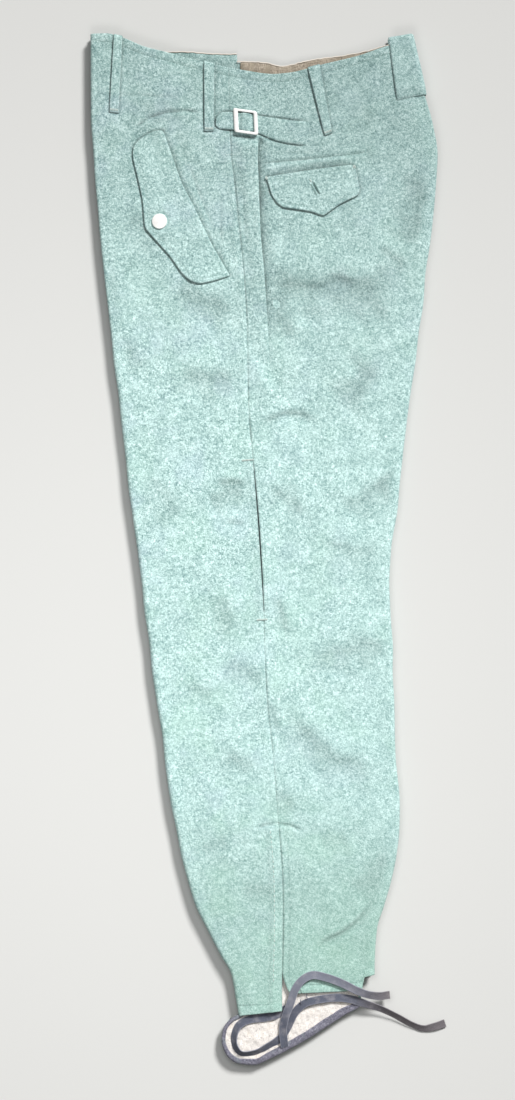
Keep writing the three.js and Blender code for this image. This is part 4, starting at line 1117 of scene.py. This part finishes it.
def add_side_pieces(upper):
    side = "left" if upper else "right"
    flip = not upper
    made = {}

    def laid(node, outline, thick, lift=None, step=1.7, bevel=1.2, corner=2.0, grooves=(), extra=None, ring_step=1.0, dark=None):
        up_ = lift or (lambda x, y: 0 * x)
        prof = rounded_top(thick, bevel)
        base = lambda x, y: ground(x, y) + 0.3 + up_(x, y)
        top = lambda x, y, d: base(x, y) + prof(d) + sum(channel(d, at, dep, w) for at, dep, w in grooves) + (extra(x, y, d) if extra else 0)
        # painted shade along the top face's edges, unless dark gives another
        ob = plate(f"{side}_{node}_cloth", outline, lambda x, y, d: base(x, y), top, WOOL_LOOP if "loop" in node else WOOL_FLAP, [f"{side}_{node}"], step=step, ring_step=ring_step, bevel=bevel, corner=corner, flip=flip, hollow=dark or (lambda x, y, d: 0.55 * np.exp(-((d / 0.8) ** 2))))
        made[node] = ob
        return base, prof

    # pocket flaps
    def hollow(x, y, d):
        """The stud pulls the cloth in round it."""
        q = np.hypot(x - SNAP["x"], y - SNAP["y"])
        return -0.75 * np.exp(-((q / 10.5) ** 2)) + 0.25 * np.exp(-(((q - 17) / 5) ** 2)) - 0.45 * np.exp(-(((q - 9.4) / 0.9) ** 2))

    def flap_shade(x, y, d):
        hinge, _ = to_line(x, y, [(-111, 461.5), (-91, 404.5), (-73.5, 370), (-57, 335), (-38, 302)])
        return 0.5 * np.exp(-((d / 0.8) ** 2)) * (0.3 + 0.7 * smooth((hinge - 2) / 8))

    base, prof = laid("front_flap", FRONT_FLAP, 1.8, lift_front, step=1.3, corner=5.0, grooves=((5.0, 0.4, 1.1),), extra=hollow, dark=flap_shade)
    surf = lambda x, y: base(x, y) + 1.8 - 0.4 + hollow(x, y, 0)
    line = inset_line(FRONT_FLAP, 5.0, 5.0)
    start = int(np.argmin(np.hypot(line[:, 0] + 98, line[:, 1] - 425)))
    line = np.roll(line, -start, axis=0)
    stitches(f"{side}_front_flap_stitches", [line], surf, flip=flip)
    slit = ((53.5, 403.0), (60.0, 390.5))

    def cut(x, y, d):
        """The buttonhole: a narrow sunk slit with raised lips."""
        q, s = to_line(x, y, slit)
        near = smooth(s / 0.05) * smooth((1 - s) / 0.05) * 0.7 + 0.3
        return near * (-1.5 * np.exp(-((q / 0.95) ** 2)) + 0.35 * np.exp(-(((q - 2.2) / 0.9) ** 2)))

    def cut_shade(x, y, d):
        q, s = to_line(x, y, slit)
        dim = smooth((s + 0.25) / 0.8)
        return np.maximum(0.55 * np.exp(-((d / 0.8) ** 2)), 0.4 * np.exp(-((q / 1.15) ** 4)) * dim * smooth(s / 0.04) * smooth((1 - s) / 0.04))

    base, prof = laid("back_flap", BACK_FLAP, 1.8, lift_back, step=0.9, corner=2.5, grooves=((4.8, 0.35, 1.0),), extra=cut, dark=cut_shade)
    surf_b = lambda x, y: base(x, y) + 1.8 - 0.35
    line = inset_line(BACK_FLAP, 4.8, 2.5)
    start = int(np.argmin(np.hypot(line[:, 0] - 96, line[:, 1] - 418)))
    stitches(f"{side}_back_flap_stitches", [np.roll(line, -start, axis=0)], surf_b, flip=flip)
    # buttonhole: close stitches across the slit's lips, and tacks at its ends and at the flap's ends
    bars = []
    (ax, ay), (bx, by) = slit
    tx, ty = bx - ax, by - ay
    ln = math.hypot(tx, ty)
    tx, ty = tx / ln, ty / ln
    for k in range(15):
        for sgn in (-1, 1):
            cx, cy = ax + tx * ln * (k + 0.5) / 15, ay + ty * ln * (k + 0.5) / 15
            bars.append([(cx - ty * sgn * 1.1, cy + tx * sgn * 1.1), (cx - ty * sgn * 2.9, cy + tx * sgn * 2.9)])
    stitches(f"{side}_buttonhole_stitches", bars, lambda x, y: base(x, y) + 1.8 + 0.22, THREAD, flip, length=1.7, gap=0.05, radius=0.36)
    ends = [[(49.8, 407.6), (52.6, 403.8)], [(51.8, 408.0), (54.2, 404.4)], [(60.6, 389.6), (62.4, 386.4)], [(97.5, 423.6), (99.6, 417.4)], [(98.6, 424), (101.4, 417.8)], [(2.2, 411.6), (4.4, 406.2)], [(1.2, 411), (3.2, 405.4)]]
    stitches(f"{side}_flap_end_tacks", ends, lambda x, y: base(x, y) + 1.9, THREAD_PALE, flip, length=4.4, gap=0.05, radius=0.5)

    # belt loops
    for where, outline in LOOPS.items():
        o = np.array(outline, float)
        mid_top, mid_low = (o[0] + o[1]) / 2, (o[2] + o[3]) / 2
        axis = (mid_low - mid_top) / np.hypot(*(mid_low - mid_top))

        def arch(x, y, mt=mid_top, ax_=axis, last=float(np.hypot(*(mid_low - mid_top)))):
            run = (x - mt[0]) * ax_[0] + (y - mt[1]) * ax_[1]
            return 0.75 * np.sin(np.pi * np.clip(run / 80, 0, 1)) ** 0.5 - 0.3 - 0.65 * smooth((run - last + 9) / 9) - 1.0 * smooth((3.2 - run) / 3.2)

        laid("loop_" + where, outline, 1.9, arch, step=1.1, bevel=1.9, corner=1.6, grooves=((2.6, 0.22, 0.7),), ring_step=0.8)
        lines = []
        for sgn in (0, 1):
            a = lerp(o[0], o[1], 0.24 if sgn == 0 else 0.76)
            b = lerp(o[3], o[2], 0.24 if sgn == 0 else 0.76)
            lines.append(resample([lerp(a, b, 0.03), lerp(a, b, 0.95)], 2.0, closed=False))
        stitches(f"{side}_loop_{where}_stitches", lines, lambda x, y, ar=arch: ground(x, y) + 0.3 + ar(x, y) + 1.72, flip=flip, radius=0.22)
        a, b = lerp(o[3], o[0], 0.035), lerp(o[2], o[1], 0.035)
        tack = []
        for j in range(7):
            p = lerp(a, b, 0.08 + 0.84 * (j + 0.5) / 7)
            tack.append([p - axis * 1.9, p + axis * 1.2])
        stitches(f"{side}_loop_{where}_tack", tack, lambda x, y, ar=arch: ground(x, y) + 0.3 + ar(x, y) + 1.88, THREAD_PALE, flip, length=2.9, gap=0.05, radius=0.45)

    # adjusting strap: a folded strip that rises over the slide's bar
    lean = -math.tan(math.radians(BUCKLE["tilt"]))
    rows = sorted(STRAP)
    low, high_, lift = (table(rows, 0, k) for k in (1, 2, 3))
    sx = np.concatenate([np.linspace(-53.5, -50, 6)[:-1], np.linspace(-50, -30, 14)[:-1], np.linspace(-30, -10, 26)[:-1], np.linspace(-10, 50.5, 36)])
    v = np.linspace(0, 1, 15)
    edge_round = lambda w, span: np.sqrt(np.clip(1 - (1 - np.clip(np.minimum(w, 1 - w) * span / 1.0, 0, 1)) ** 2, 0, 1))
    xs, ys = [], []
    for s in sx:
        end = math.sqrt(max(0.0, 1 - max(0.0, (-46 - s) / 7.6) ** 2))  # the tongue's round end
        c, h = (float(low(s)) + float(high_(s))) / 2, (float(high_(s)) - float(low(s))) / 2
        if s < -46:
            h = 10.0 * max(end, 0.12)
        ys.append(c + (2 * v - 1) * h)
        xs.append(s + lean * (ys[-1] - BUCKLE["y"]))
    X, Y = np.array(xs), np.array(ys)
    span = (Y[:, -1] - Y[:, 0])[:, None]
    er = edge_round(v[None], span)
    tip = np.sqrt(np.clip(1 - (1 - np.clip((sx + 53.5) / 1.2, 0, 1)) ** 2, 0, 1))[:, None]
    sunk = smooth((sx - 34) / 15)[:, None]  # the sewn end sinks into the seam
    L = lift(sx)[:, None]
    foot = ground(X, Y) - 0.25 + L - 0.45 * sunk
    thick = 1.65 * (0.3 + 0.7 * er * tip) * (1 - 0.45 * sunk)
    d_edge = np.minimum(v[None], 1 - v[None]) * span
    thick = thick + channel(d_edge, 2.6, 0.28, 0.6) * tip
    vv, ff = wall(np.stack([X, Y, foot + thick], -1), np.stack([X, Y, foot], -1))
    shade = np.concatenate([(0.6 * np.exp(-((d_edge / 0.9) ** 2)) * (1 - smooth((sx - 34) / 12)[:, None])).ravel(), np.zeros(X.size)])
    if flip:
        vv = mirrored(vv)
    made["strap"] = piece(f"{side}_strap_cloth", vv, ff, WOOL_FLAP, [f"{side}_strap"], hollow=shade)
    strap_lines = []
    for t in (0.12, 0.88):
        ln_ = []
        for s in np.linspace(-47, 44, 60):
            c = lerp(float(low(s)), float(high_(s)), t)
            ln_.append((s + lean * (c - BUCKLE["y"]), c))
        strap_lines.append(ln_)
    stitches(f"{side}_strap_stitches", strap_lines, lambda x, y: ground(x, y) - 0.25 + lift(x - lean * (y - BUCKLE["y"])) + 1.4, flip=flip, radius=0.22)

    # slide buckle: a frame with a wide and a narrow end bar, seen a little from its side, and a bar under the strap
    w, h = BUCKLE["wide"], BUCKLE["tall"]

    def corners(x0, x1, y0, y1, radii, n=6):
        pts = []
        for (sx_, sy_), r, a0 in zip(((1, 1), (0, 1), (0, 0), (1, 0)), radii, (0, 90, 180, 270)):
            cx = x1 - r if sx_ else x0 + r
            cy = y1 - r if sy_ else y0 + r
            for k in range(n):
                a = math.radians(a0 + 90 * k / (n - 1))
                pts.append((cx + r * math.cos(a), cy + r * math.sin(a)))
        return np.array(pts)

    outer_r = corners(-w / 2, w / 2, -h / 2, h / 2, (3.4, 1.8, 2.2, 3.0))
    inner_r = corners(-w / 2 + 5.0, w / 2 - 4.3, -h / 2 + 3.0, h / 2 - 2.6, (0.9, 0.7, 0.7, 0.9))
    g = float(ground(np.array([BUCKLE["x"]]), np.array([BUCKLE["y"]]))[0])
    z0, z1 = 1.85, 3.9
    rings = []
    for t, z in ((0.0, z0 + 0.5), (0.0, z1 - 0.75), (0.07, z1 - 0.35), (0.2, z1 - 0.06), (0.4, z1), (0.62, z1), (0.82, z1 - 0.06), (0.94, z1 - 0.35), (1.0, z1 - 0.75), (1.0, z0 + 0.5), (0.85, z0), (0.15, z0)):
        q = lerp(outer_r, inner_r, t)
        rings.append(np.column_stack([q, np.full(len(q), z)]))
    R = np.array(rings).transpose(1, 0, 2)  # round the frame, round its section
    mm_, nn_ = R.shape[:2]
    idx = np.arange(mm_ * nn_).reshape(mm_, nn_)
    nx1, ny1 = np.roll(idx, -1, 0), np.roll(idx, -1, 1)
    nxy = np.roll(nx1, -1, 1)
    ff = np.stack([idx, nx1, nxy, ny1], -1).reshape(-1, 4)

    def seat(vs):
        q = np.asarray(vs)
        q = np.column_stack([BUCKLE["x"] + q[:, 0] - 0.05 * q[:, 1], BUCKLE["y"] + q[:, 1] - 0.145 * q[:, 0], g + q[:, 2]])
        return mirrored(q) if flip else q

    made["buckle"] = piece(f"{side}_buckle_frame", seat(R.reshape(-1, 3)), ff, METAL, [f"{side}_buckle"])
    bars_v, bars_f, k = [], [], 0
    ang = np.radians(np.arange(0, 360, 30))
    loft_rows = [np.array([[[1.3 * math.cos(q), y_, 0.55 + 0.75 * math.sin(q)] for q in ang] for y_ in np.linspace(-h / 2 + 0.8, h / 2 - 0.8, 8)])]
    for sgn in (-1, 1):
        y0, y1 = sgn * (h / 2 - 2.4), sgn * (h / 2 - 0.5)
        loft_rows.append(np.array([[[x_, y0, -0.25], [x_, y0, 2.4], [x_, y1, 2.4], [x_, y1, -0.25]] for x_ in np.linspace(-w / 2 + 2.4, w / 2 - 2.4, 8)]))
    for rows_ in loft_rows:
        bv, bf = ring_loft(rows_)
        bars_v.append(bv)
        bars_f += [q + k for q in bf]
        k += len(bv)
    piece(f"{side}_buckle_bars", seat(np.concatenate(bars_v)), bars_f, METAL, sharp=40)

    # press stud: a turned cap with a rolled rim
    prof = [(0.0, 0.0), (7.9, 0.0), (8.28, 0.35), (8.3, 0.85), (8.05, 1.25), (7.6, 1.46), (7.1, 1.4), (6.6, 1.5), (5.6, 1.72), (3.6, 1.92), (1.6, 2.0), (0.0, 2.02)]
    n = 64
    ang = np.arange(n) * 2 * math.pi / n
    ringl = []
    for r_, z_ in prof[1:-1]:
        ringl.append(np.stack([SNAP["x"] + r_ * np.cos(ang), SNAP["y"] + r_ * np.sin(ang), np.full(n, z_)], -1))
    fb = float((ground(np.array([SNAP["x"]]), np.array([SNAP["y"]])) + lift_front(np.array([SNAP["x"]]), np.array([SNAP["y"]])))[0]) + 0.3 + 1.8 - 0.75 + 0.28
    ringl = np.array(ringl)
    ringl[:, :, 2] += fb
    vv, ff = ring_loft(ringl)
    vv[-2, 2], vv[-1, 2] = fb, fb + 2.02
    if flip:
        vv = mirrored(vv)
    made["snap"] = piece(f"{side}_snap_cap", vv, ff, METAL, [f"{side}_snap"])
    return made


SIDE = {up: add_side_pieces(up) for up in (True, False)}


# ---------------------------------------------------------------- centre back loop
def back_loop():
    """A wide loop sewn each side of the seat seam and wrapped round the fold."""
    n_y = 44
    sy = np.linspace(0, 1, n_y)
    c, t = 0.45, 2.0
    outer, inner = [], []
    for s in sy:
        x_in = lerp(136.5, 146, s)
        y0 = lerp(562.6, 493.5, s)
        fold = 170.0
        for _ in range(5):
            fold = float(fold_x(np.array(y0 + 0.2 * (fold - x_in)), False, True))
        x_out = fold + 1.1
        edge = np.sqrt(np.clip(1 - (1 - np.clip(min(s, 1 - s) * 70 / 1.3, 0, 1)) ** 2, 0, 1))
        thick = t * (0.3 + 0.7 * edge) - 0.3 * math.exp(-(((min(s, 1 - s) * 70 - 3.6) / 0.8) ** 2))
        thick *= 1 - 0.4 * float(smooth(np.array((s - 0.8) / 0.2)))
        arch = 0.45 * math.sin(math.pi * min(1, s * 1.02)) ** 0.5 - 0.45 * float(smooth(np.array((s - 0.82) / 0.18)))
        hi, lo = TOP + c + arch, WAIST_BASE - c
        rad = 3.4
        path, norm = [], []
        for x in np.linspace(x_in, x_out - rad, 22):
            path.append((x, hi)), norm.append((0, 1))
        for a in np.linspace(90, 0, 8)[1:]:
            q = math.radians(a)
            path.append((x_out - rad + rad * math.cos(q), hi - rad + rad * math.sin(q))), norm.append((math.cos(q), math.sin(q)))
        for z in np.linspace(hi - rad, lo + rad, 6)[1:]:
            path.append((x_out, z)), norm.append((1, 0))
        for a in np.linspace(0, -90, 8)[1:]:
            q = math.radians(a)
            path.append((x_out - rad + rad * math.cos(q), lo + rad + rad * math.sin(q))), norm.append((math.cos(q), math.sin(q)))
        for x in np.linspace(x_out - rad, x_in, 22)[1:]:
            path.append((x, lo)), norm.append((0, -1))
        path, norm = np.array(path), np.array(norm)
        y = y0 + 0.2 * (path[:, 0] - x_in) + 0.25 * N3(path[:, 0] / 14, s * 5)
        side = np.minimum(np.arange(len(path)), np.arange(len(path))[::-1]) * 1.1
        tt = thick * (0.3 + 0.7 * np.sqrt(np.clip(1 - (1 - np.clip(side / 1.3, 0, 1)) ** 2, 0, 1)))
        top = path + norm * tt[:, None]
        top[:, 1] = np.maximum(top[:, 1], 0.08)
        outer.append(np.column_stack([top[:, 0], y, top[:, 1]]))
        inner.append(np.column_stack([path[:, 0], y, path[:, 1]]))
    vv, ff = wall(np.array(outer), np.array(inner))
    ob = piece("centre_back_loop_cloth", vv, ff, WOOL_LOOP, ["centre_back_loop"])
    lines = []
    for s in (0.052, 0.948):
        x_in, y0 = lerp(136.5, 146, s), lerp(562.6, 493.5, s)
        x_end = float(fold_x(np.array(y0 + 5), False, True)) - 3
        lines.append([(x, y0 + 0.2 * (x - x_in)) for x in np.linspace(x_in + 2, x_end, 20)])
    lines.append([(lerp(136.5, 146, s) + 2.6, lerp(562.6, 493.5, s) + 0.5) for s in np.linspace(0.06, 0.94, 40)])
    arch = lambda x, y: TOP + 0.45 + 1.9 + 0.25 * np.clip(np.sin(np.pi * np.clip((562 - y) / 70, 0, 1)), 0, 1) ** 0.5 - 0.1
    stitches("centre_back_loop_stitches", lines, arch, radius=0.24)
    return ob


BACK_LOOP = back_loop()


# ---------------------------------------------------------------- inside of the waist
def waist_inside():
    z = WAIST_BASE + CLOTH + 0.3
    seat = lambda x, y: z + 0.75 - 0.9 * soft(x, y)
    top_edge = lambda x: waist_far_back(x) + 0.8
    xs = np.linspace(-26, 150, 200)
    outline = [(x, float(top_edge(x))) for x in np.linspace(-26, 150, 40)] + [(x, float(top_edge(x)) - 45) for x in np.linspace(150, -26, 40)]
    gather = lambda x, y: 0.45 + 0.4 * N3(x / 5.2, y / 40) + 0.22 * N4(x / 2.6, y / 22)
    lining = plate("waist_lining_cloth", outline, lambda x, y, d: seat(x, y), lambda x, y, d: seat(x, y) + 0.35 + np.clip(gather(x, y), 0.1, 2.2) * np.clip(d / 2, 0.2, 1), LINING, ["right_waist_lining"], step=2.2, ring_step=1.6, corner=0.8, insets=(0.5, 1.2, 2.2))
    # cream edge cord along the far waist
    def bead(name, pts, r, mat):
        c = np.array(pts, float)
        tan = np.gradient(c, axis=0)
        tan /= np.linalg.norm(tan, axis=1)[:, None]
        side_ = np.cross(tan, [0, 0, 1.0])
        side_ /= np.linalg.norm(side_, axis=1)[:, None]
        upv = np.cross(side_, tan)
        ang = np.radians(np.arange(0, 360, 45))
        rings = np.array([[p + r * (math.cos(a) * s_ + math.sin(a) * u_) for a in ang] for p, s_, u_ in zip(c, side_, upv)])
        vv, ff = ring_loft(rings)
        return piece(name, vv, ff, mat)
    xb = np.linspace(-30, 150, 180)
    bead("lining_edge", [(x, float(top_edge(x)) + 0.1 + 0.25 * float(N4(x / 3.1, 4.0)), float(seat(np.array([x]), np.array([float(top_edge(x))]))[0]) + 0.5 + 0.3 * float(N3(x / 6, 1.0))) for x in xb], 0.62, THREAD_CREAM)
    xf = np.linspace(-172, -30, 140)
    bead("front_waist_edge", [(x, float(waist_far_front(x)) + 0.2 + 0.2 * float(N4(x / 3.1, 8.0)), float(seat(np.array([x]), np.array([float(waist_far_front(x))]))[0]) - 0.9 + 0.3 * float(N3(x / 7, 3.0))) for x in xf], 0.6, THREAD_CREAM)
    return lining


LINING_PIECE = waist_inside()


# ---------------------------------------------------------------- hem of the left leg
def hem_inside():
    z = INNER_TOP + 0.35
    wrinkle = lambda x, y: 0.55 * np.clip(N3(x / 9 + 2, y / 7), -0.2, 2) + 0.28 * N4(x / 3.6, y / 3.4) + 0.4
    facing = plate("hem_facing_cloth", FACING_EDGE, lambda x, y, d: z + 0 * x, lambda x, y, d: z + 0.35 + np.clip(wrinkle(x, y), 0, 1.6) * np.clip(d / 2.5, 0.2, 1), FACING, ["left_hem_facing"], step=1.5, ring_step=1.2, corner=1.5, insets=(0.5, 1.1, 1.8))
    # turned-up wool round the hem's inner edge, puckered by the tape
    outer = np.array([b[0] for b in BINDING], float)
    inner = np.array([b[1] for b in BINDING], float)
    s = np.linspace(0, 1, len(BINDING))
    q = np.linspace(0, 1, 150)
    cubic = lambda arr: np.stack([table(list(zip(s, arr[:, k])), 0, 1)(q) for k in (0, 1)], -1)
    o, i = cubic(outer), cubic(inner)
    n = 18
    rings = []
    for k in range(len(q)):
        w = np.hypot(*(o[k] - i[k]))
        ring = []
        swell = 1.0 + 0.16 * float(N3(q[k] * 26, 1.5)) + 0.07 * float(N4(q[k] * 70, 3))
        for j in range(n):
            a = 2 * math.pi * j / n
            u = 0.5 - 0.5 * math.cos(a)  # outer edge to inner edge
            hgt = math.sin(a)
            tuck = 1 - 0.62 * float(smooth(np.array((q[k] - 0.78) / 0.14)))
            zz = z - 0.15 + 1.15 * tuck + (2.1 if hgt > 0 else 1.0) * hgt * swell * min(1.0, w / 7 + 0.35) * tuck
            p = lerp(o[k], i[k], u)
            ring.append((p[0], p[1], zz))
        rings.append(ring)
    vv, ff = ring_loft(np.array(rings))
    rim = piece("hem_turning", vv, ff, WOOL_RIM)
    # stitches that hold the turning
    mid_ = i + (o - i) * 0.22
    stitches("hem_turning_stitches", [mid_[6:-6].tolist()], lambda x, y: z + 2.7 + 0 * x, THREAD_GREY, length=2.6, gap=1.6, radius=0.3)
    return facing, rim


HEM_FACING, HEM_RIM = hem_inside()


def tape(name, route, node, width=8.8, thick=1.0, ripple=0.25):
    """A woven ribbon along a route, rolled by the angle in each row. Returns it with its path."""
    rows = np.array(route, float)
    p = rows[:, :3]
    seg = np.linalg.norm(np.diff(p, axis=0), axis=1)
    knots = np.concatenate([[0], np.cumsum(seg ** 0.5)])
    # centripetal Catmull-Rom through the rows
    pts, rolls = [], []
    ext = np.vstack([2 * p[0] - p[1], p, 2 * p[-1] - p[-2]])
    tt = np.concatenate([[knots[0] - seg[0] ** 0.5], knots, [knots[-1] + seg[-1] ** 0.5]])
    for k in range(1, len(ext) - 2):
        t0, t1, t2, t3 = tt[k - 1:k + 3]
        p0, p1, p2, p3 = ext[k - 1:k + 3]
        for u in np.linspace(0, 1, 10, endpoint=False):
            t = lerp(t1, t2, u)
            a1 = (t1 - t) / (t1 - t0) * p0 + (t - t0) / (t1 - t0) * p1
            a2 = (t2 - t) / (t2 - t1) * p1 + (t - t1) / (t2 - t1) * p2
            a3 = (t3 - t) / (t3 - t2) * p2 + (t - t2) / (t3 - t2) * p3
            b1 = (t2 - t) / (t2 - t0) * a1 + (t - t0) / (t2 - t0) * a2
            b2 = (t3 - t) / (t3 - t1) * a2 + (t - t1) / (t3 - t1) * a3
            pts.append((t2 - t) / (t2 - t1) * b1 + (t - t1) / (t2 - t1) * b2)
            rolls.append(lerp(rows[k - 1, 3], rows[k, 3], smooth(u)))
    pts.append(p[-1]), rolls.append(rows[-1, 3])
    pts, rolls = np.array(pts), np.radians(np.array(rolls, float))
    run = np.concatenate([[0], np.cumsum(np.linalg.norm(np.diff(pts, axis=0), axis=1))])
    n = int(run[-1] / 1.3)
    s = np.linspace(0, run[-1], n)
    pts = np.stack([np.interp(s, run, pts[:, k]) for k in range(3)], -1)
    rolls = np.interp(s, run, rolls)
    tan = np.gradient(pts, axis=0)
    tan /= np.linalg.norm(tan, axis=1)[:, None]
    flat = np.stack([-tan[:, 1], tan[:, 0], 0 * s], -1)
    flat /= np.linalg.norm(flat, axis=1)[:, None]
    up = np.cross(tan, flat)
    across = flat * np.cos(rolls)[:, None] + up * np.sin(rolls)[:, None]
    normal = np.cross(tan, across)
    cols = np.array([-1, -0.96, -0.8, -0.5, -0.2, 0.2, 0.5, 0.8, 0.96, 1.0]) * width / 2
    half = np.array([0.28, 0.5, 0.5, 0.42, 0.4, 0.4, 0.42, 0.5, 0.5, 0.28]) * thick
    cup = 0.35 * (cols / (width / 2)) ** 2
    wave = ripple * np.sin(s / 5.5 + 1.2 * N4(s / 12, 0.0 * s + len(node)))
    rings, uvs = [], []
    for k in range(n):
        ring = []
        for sgn, order in ((1, range(10)), (-1, range(9, -1, -1))):
            for j in order:
                off = cup[j] + sgn * half[j] + wave[k] * (cols[j] / width)
                ring.append(pts[k] + across[k] * cols[j] + normal[k] * off)
                uvs.append((s[k], cols[j] + 4.5))
        rings.append(ring)
    rings = np.array(rings)
    rings[:, :, 2] = np.maximum(rings[:, :, 2], 0.12)
    vv, ff = ring_loft(rings)
    uvs += [(0.0, 4.5), (s[-1], 4.5)]
    ob = piece(name, vv, ff, TAPE, [node], uv=uvs)
    return ob, pts, run[-1]


long_tape, long_path, long_len = tape("tape_long", LONG_TAPE, "ankle_tape_long")
short_tape, short_path, short_len = tape("tape_short", SHORT_TAPE, "ankle_tape_short")


# ---------------------------------------------------------------- bar tacks and seam stitches on the panels
def panel_surface(x, y):
    return TOP + soft(x, y)


def tack(cx, cy, long_, tall, angle=0.0, rows=9):
    """Close parallel stitches that make a bar."""
    made = []
    a = math.radians(angle)
    ux, uy = math.cos(a), math.sin(a)
    for k in range(rows):
        f = (k + 0.5) / rows - 0.5
        px, py = cx + ux * f * long_, cy + uy * f * long_
        made.append([(px + uy * tall / 2, py - ux * tall / 2), (px - uy * tall / 2, py + ux * tall / 2)])
    return made


stitches("knee_tacks", tack(-17.8, 98.5, 13, 2.6, 4, 12) + tack(-2.0, -77, 12, 2.4, 3, 11), lambda x, y: panel_surface(x, y) + 0.5, THREAD_PALE, length=2.3, gap=0.05, radius=0.45)
stitches("vent_tacks", [[(-8, -304.6), (2, -300.6), (14, -299.4), (28, -301.4), (41, -307)]], lambda x, y: panel_surface(x, y) - 0.05, THREAD, radius=0.26)
stitches("pocket_tacks", tack(-29, 434.5, 27, 2.4, 0, 11), lambda x, y: panel_surface(x, y) + 0.1, THREAD_PALE, length=2.0, gap=0.05, radius=0.3)
stitches("hem_tacks", [[(39.8, -494), (41.2, -502)], [(46.6, -488.5), (47.6, -496)]], lambda x, y: 14.2 + 0 * x, THREAD_GREY, length=7.0, gap=0.05, radius=0.55)
waist_line = [(x, float(waist_near(np.array(x))) - 8.8) for x in np.linspace(-186, 160, 160)]
stitches("waist_stitches", [waist_line], lambda x, y: panel_surface(x, y) - 0.1, THREAD, radius=0.24)
hem_line_f = [(x, -500.3) for x in np.linspace(-27, 18, 30)]
hem_line_b = [(x, float(hem_back(np.array(x))) + 9.6) for x in np.linspace(30, 116, 50)]
stitches("hem_stitches", [hem_line_f, hem_line_b], lambda x, y: panel_surface(x, y) + 0.1, THREAD, radius=0.24)
vent = [[(float(side_seam(np.array(y))) + dx, y) for y in np.linspace(-308, -476, 90)] for dx in (-9.5, 8.0)]
stitches("vent_stitches_back", vent[1:], lambda x, y: panel_surface(x, y) + 0.05, THREAD, radius=0.22)
stitches("vent_stitches_front", vent[:1], lambda x, y: panel_surface(x, y) + 1.2, THREAD_PALE, length=3.4, gap=2.0, radius=0.4)
slit_lines = [[(float(seam_x(np.array(y), fr, True)) + (-4.5 if fr else 4.5), y) for y in np.linspace(-66, 94, 90)] for fr in (True, False)]
stitches("knee_stitches", slit_lines, lambda x, y: panel_surface(x, y) + 0.45, THREAD, radius=0.22)
stitches("welt_stitches", [[(-2, 426.4), (46, 430.2), (98, 435.2), (112, 438.6)], [(-139, 459.6), (-131, 466.5), (-124, 471.4), (-108.5, 476.6), (-88, 478.2), (-72, 477)]], lambda x, y: panel_surface(x, y) + 0.2, THREAD, radius=0.22)


# ---------------------------------------------------------------- stage
scene = bpy.context.scene
floor_me = bpy.data.meshes.new("floor")
floor_me.from_pydata([(-6, -6, 0), (6, -6, 0), (6, 6, 0), (-6, 6, 0)], [], [(0, 1, 2, 3)])
floor = bpy.data.objects.new("floor", floor_me)
scene.collection.objects.link(floor)
fs = Nodes("pale_floor")
floor_me.materials.append(fs.finish(srgb(196, 196, 194), 0.95, spec=0.1))


def area_light(name, loc, target, size, power, color=(1, 1, 1)):
    data = bpy.data.lights.new(name, "AREA")
    data.shape = "DISK"
    data.size = size
    data.energy = power
    data.color = color
    ob = bpy.data.objects.new(name, data)
    ob.location = loc
    ob.rotation_euler = (Vector(target) - Vector(loc)).to_track_quat("-Z", "Y").to_euler()
    scene.collection.objects.link(ob)
    return ob


area_light("overhead", (-0.1, -0.15, 0.9), (-0.1, -0.15, 0.0), 0.6, 3.4, (0.99, 1.0, 1.0))
sun = bpy.data.lights.new("key", "SUN")
sun.energy = 4.5
sun.angle = math.radians(13)
sun.color = (1.0, 0.995, 0.985)
key = bpy.data.objects.new("key", sun)
key.rotation_euler = Vector((0.405, 0.648, 0.645)).to_track_quat("Z", "Y").to_euler()
key.location = (0.8, 1.3, 1.3)
scene.collection.objects.link(key)
world = bpy.data.worlds.new("studio")
world.use_nodes = True
world.node_tree.nodes["Background"].inputs[0].default_value = (1.0, 1.0, 1.0, 1.0)
world.node_tree.nodes["Background"].inputs[1].default_value = 0.24
scene.world = world
scene.view_settings.view_transform = "Standard"
scene.view_settings.look = "None"
scene.view_settings.exposure = 0.0
scene.view_settings.gamma = 1.0

cam_data = bpy.data.cameras.new("camera")
cam_data.lens = 100.0
cam_data.sensor_width = 36.0
cam_data.clip_end = 20
camera = bpy.data.objects.new("camera", cam_data)
camera.location = (-0.00715, -0.00055, TOP * MM + 1.21 * 100.0 / 36.0)
camera.rotation_euler = (0, 0, 0)
scene.collection.objects.link(camera)
scene.camera = camera
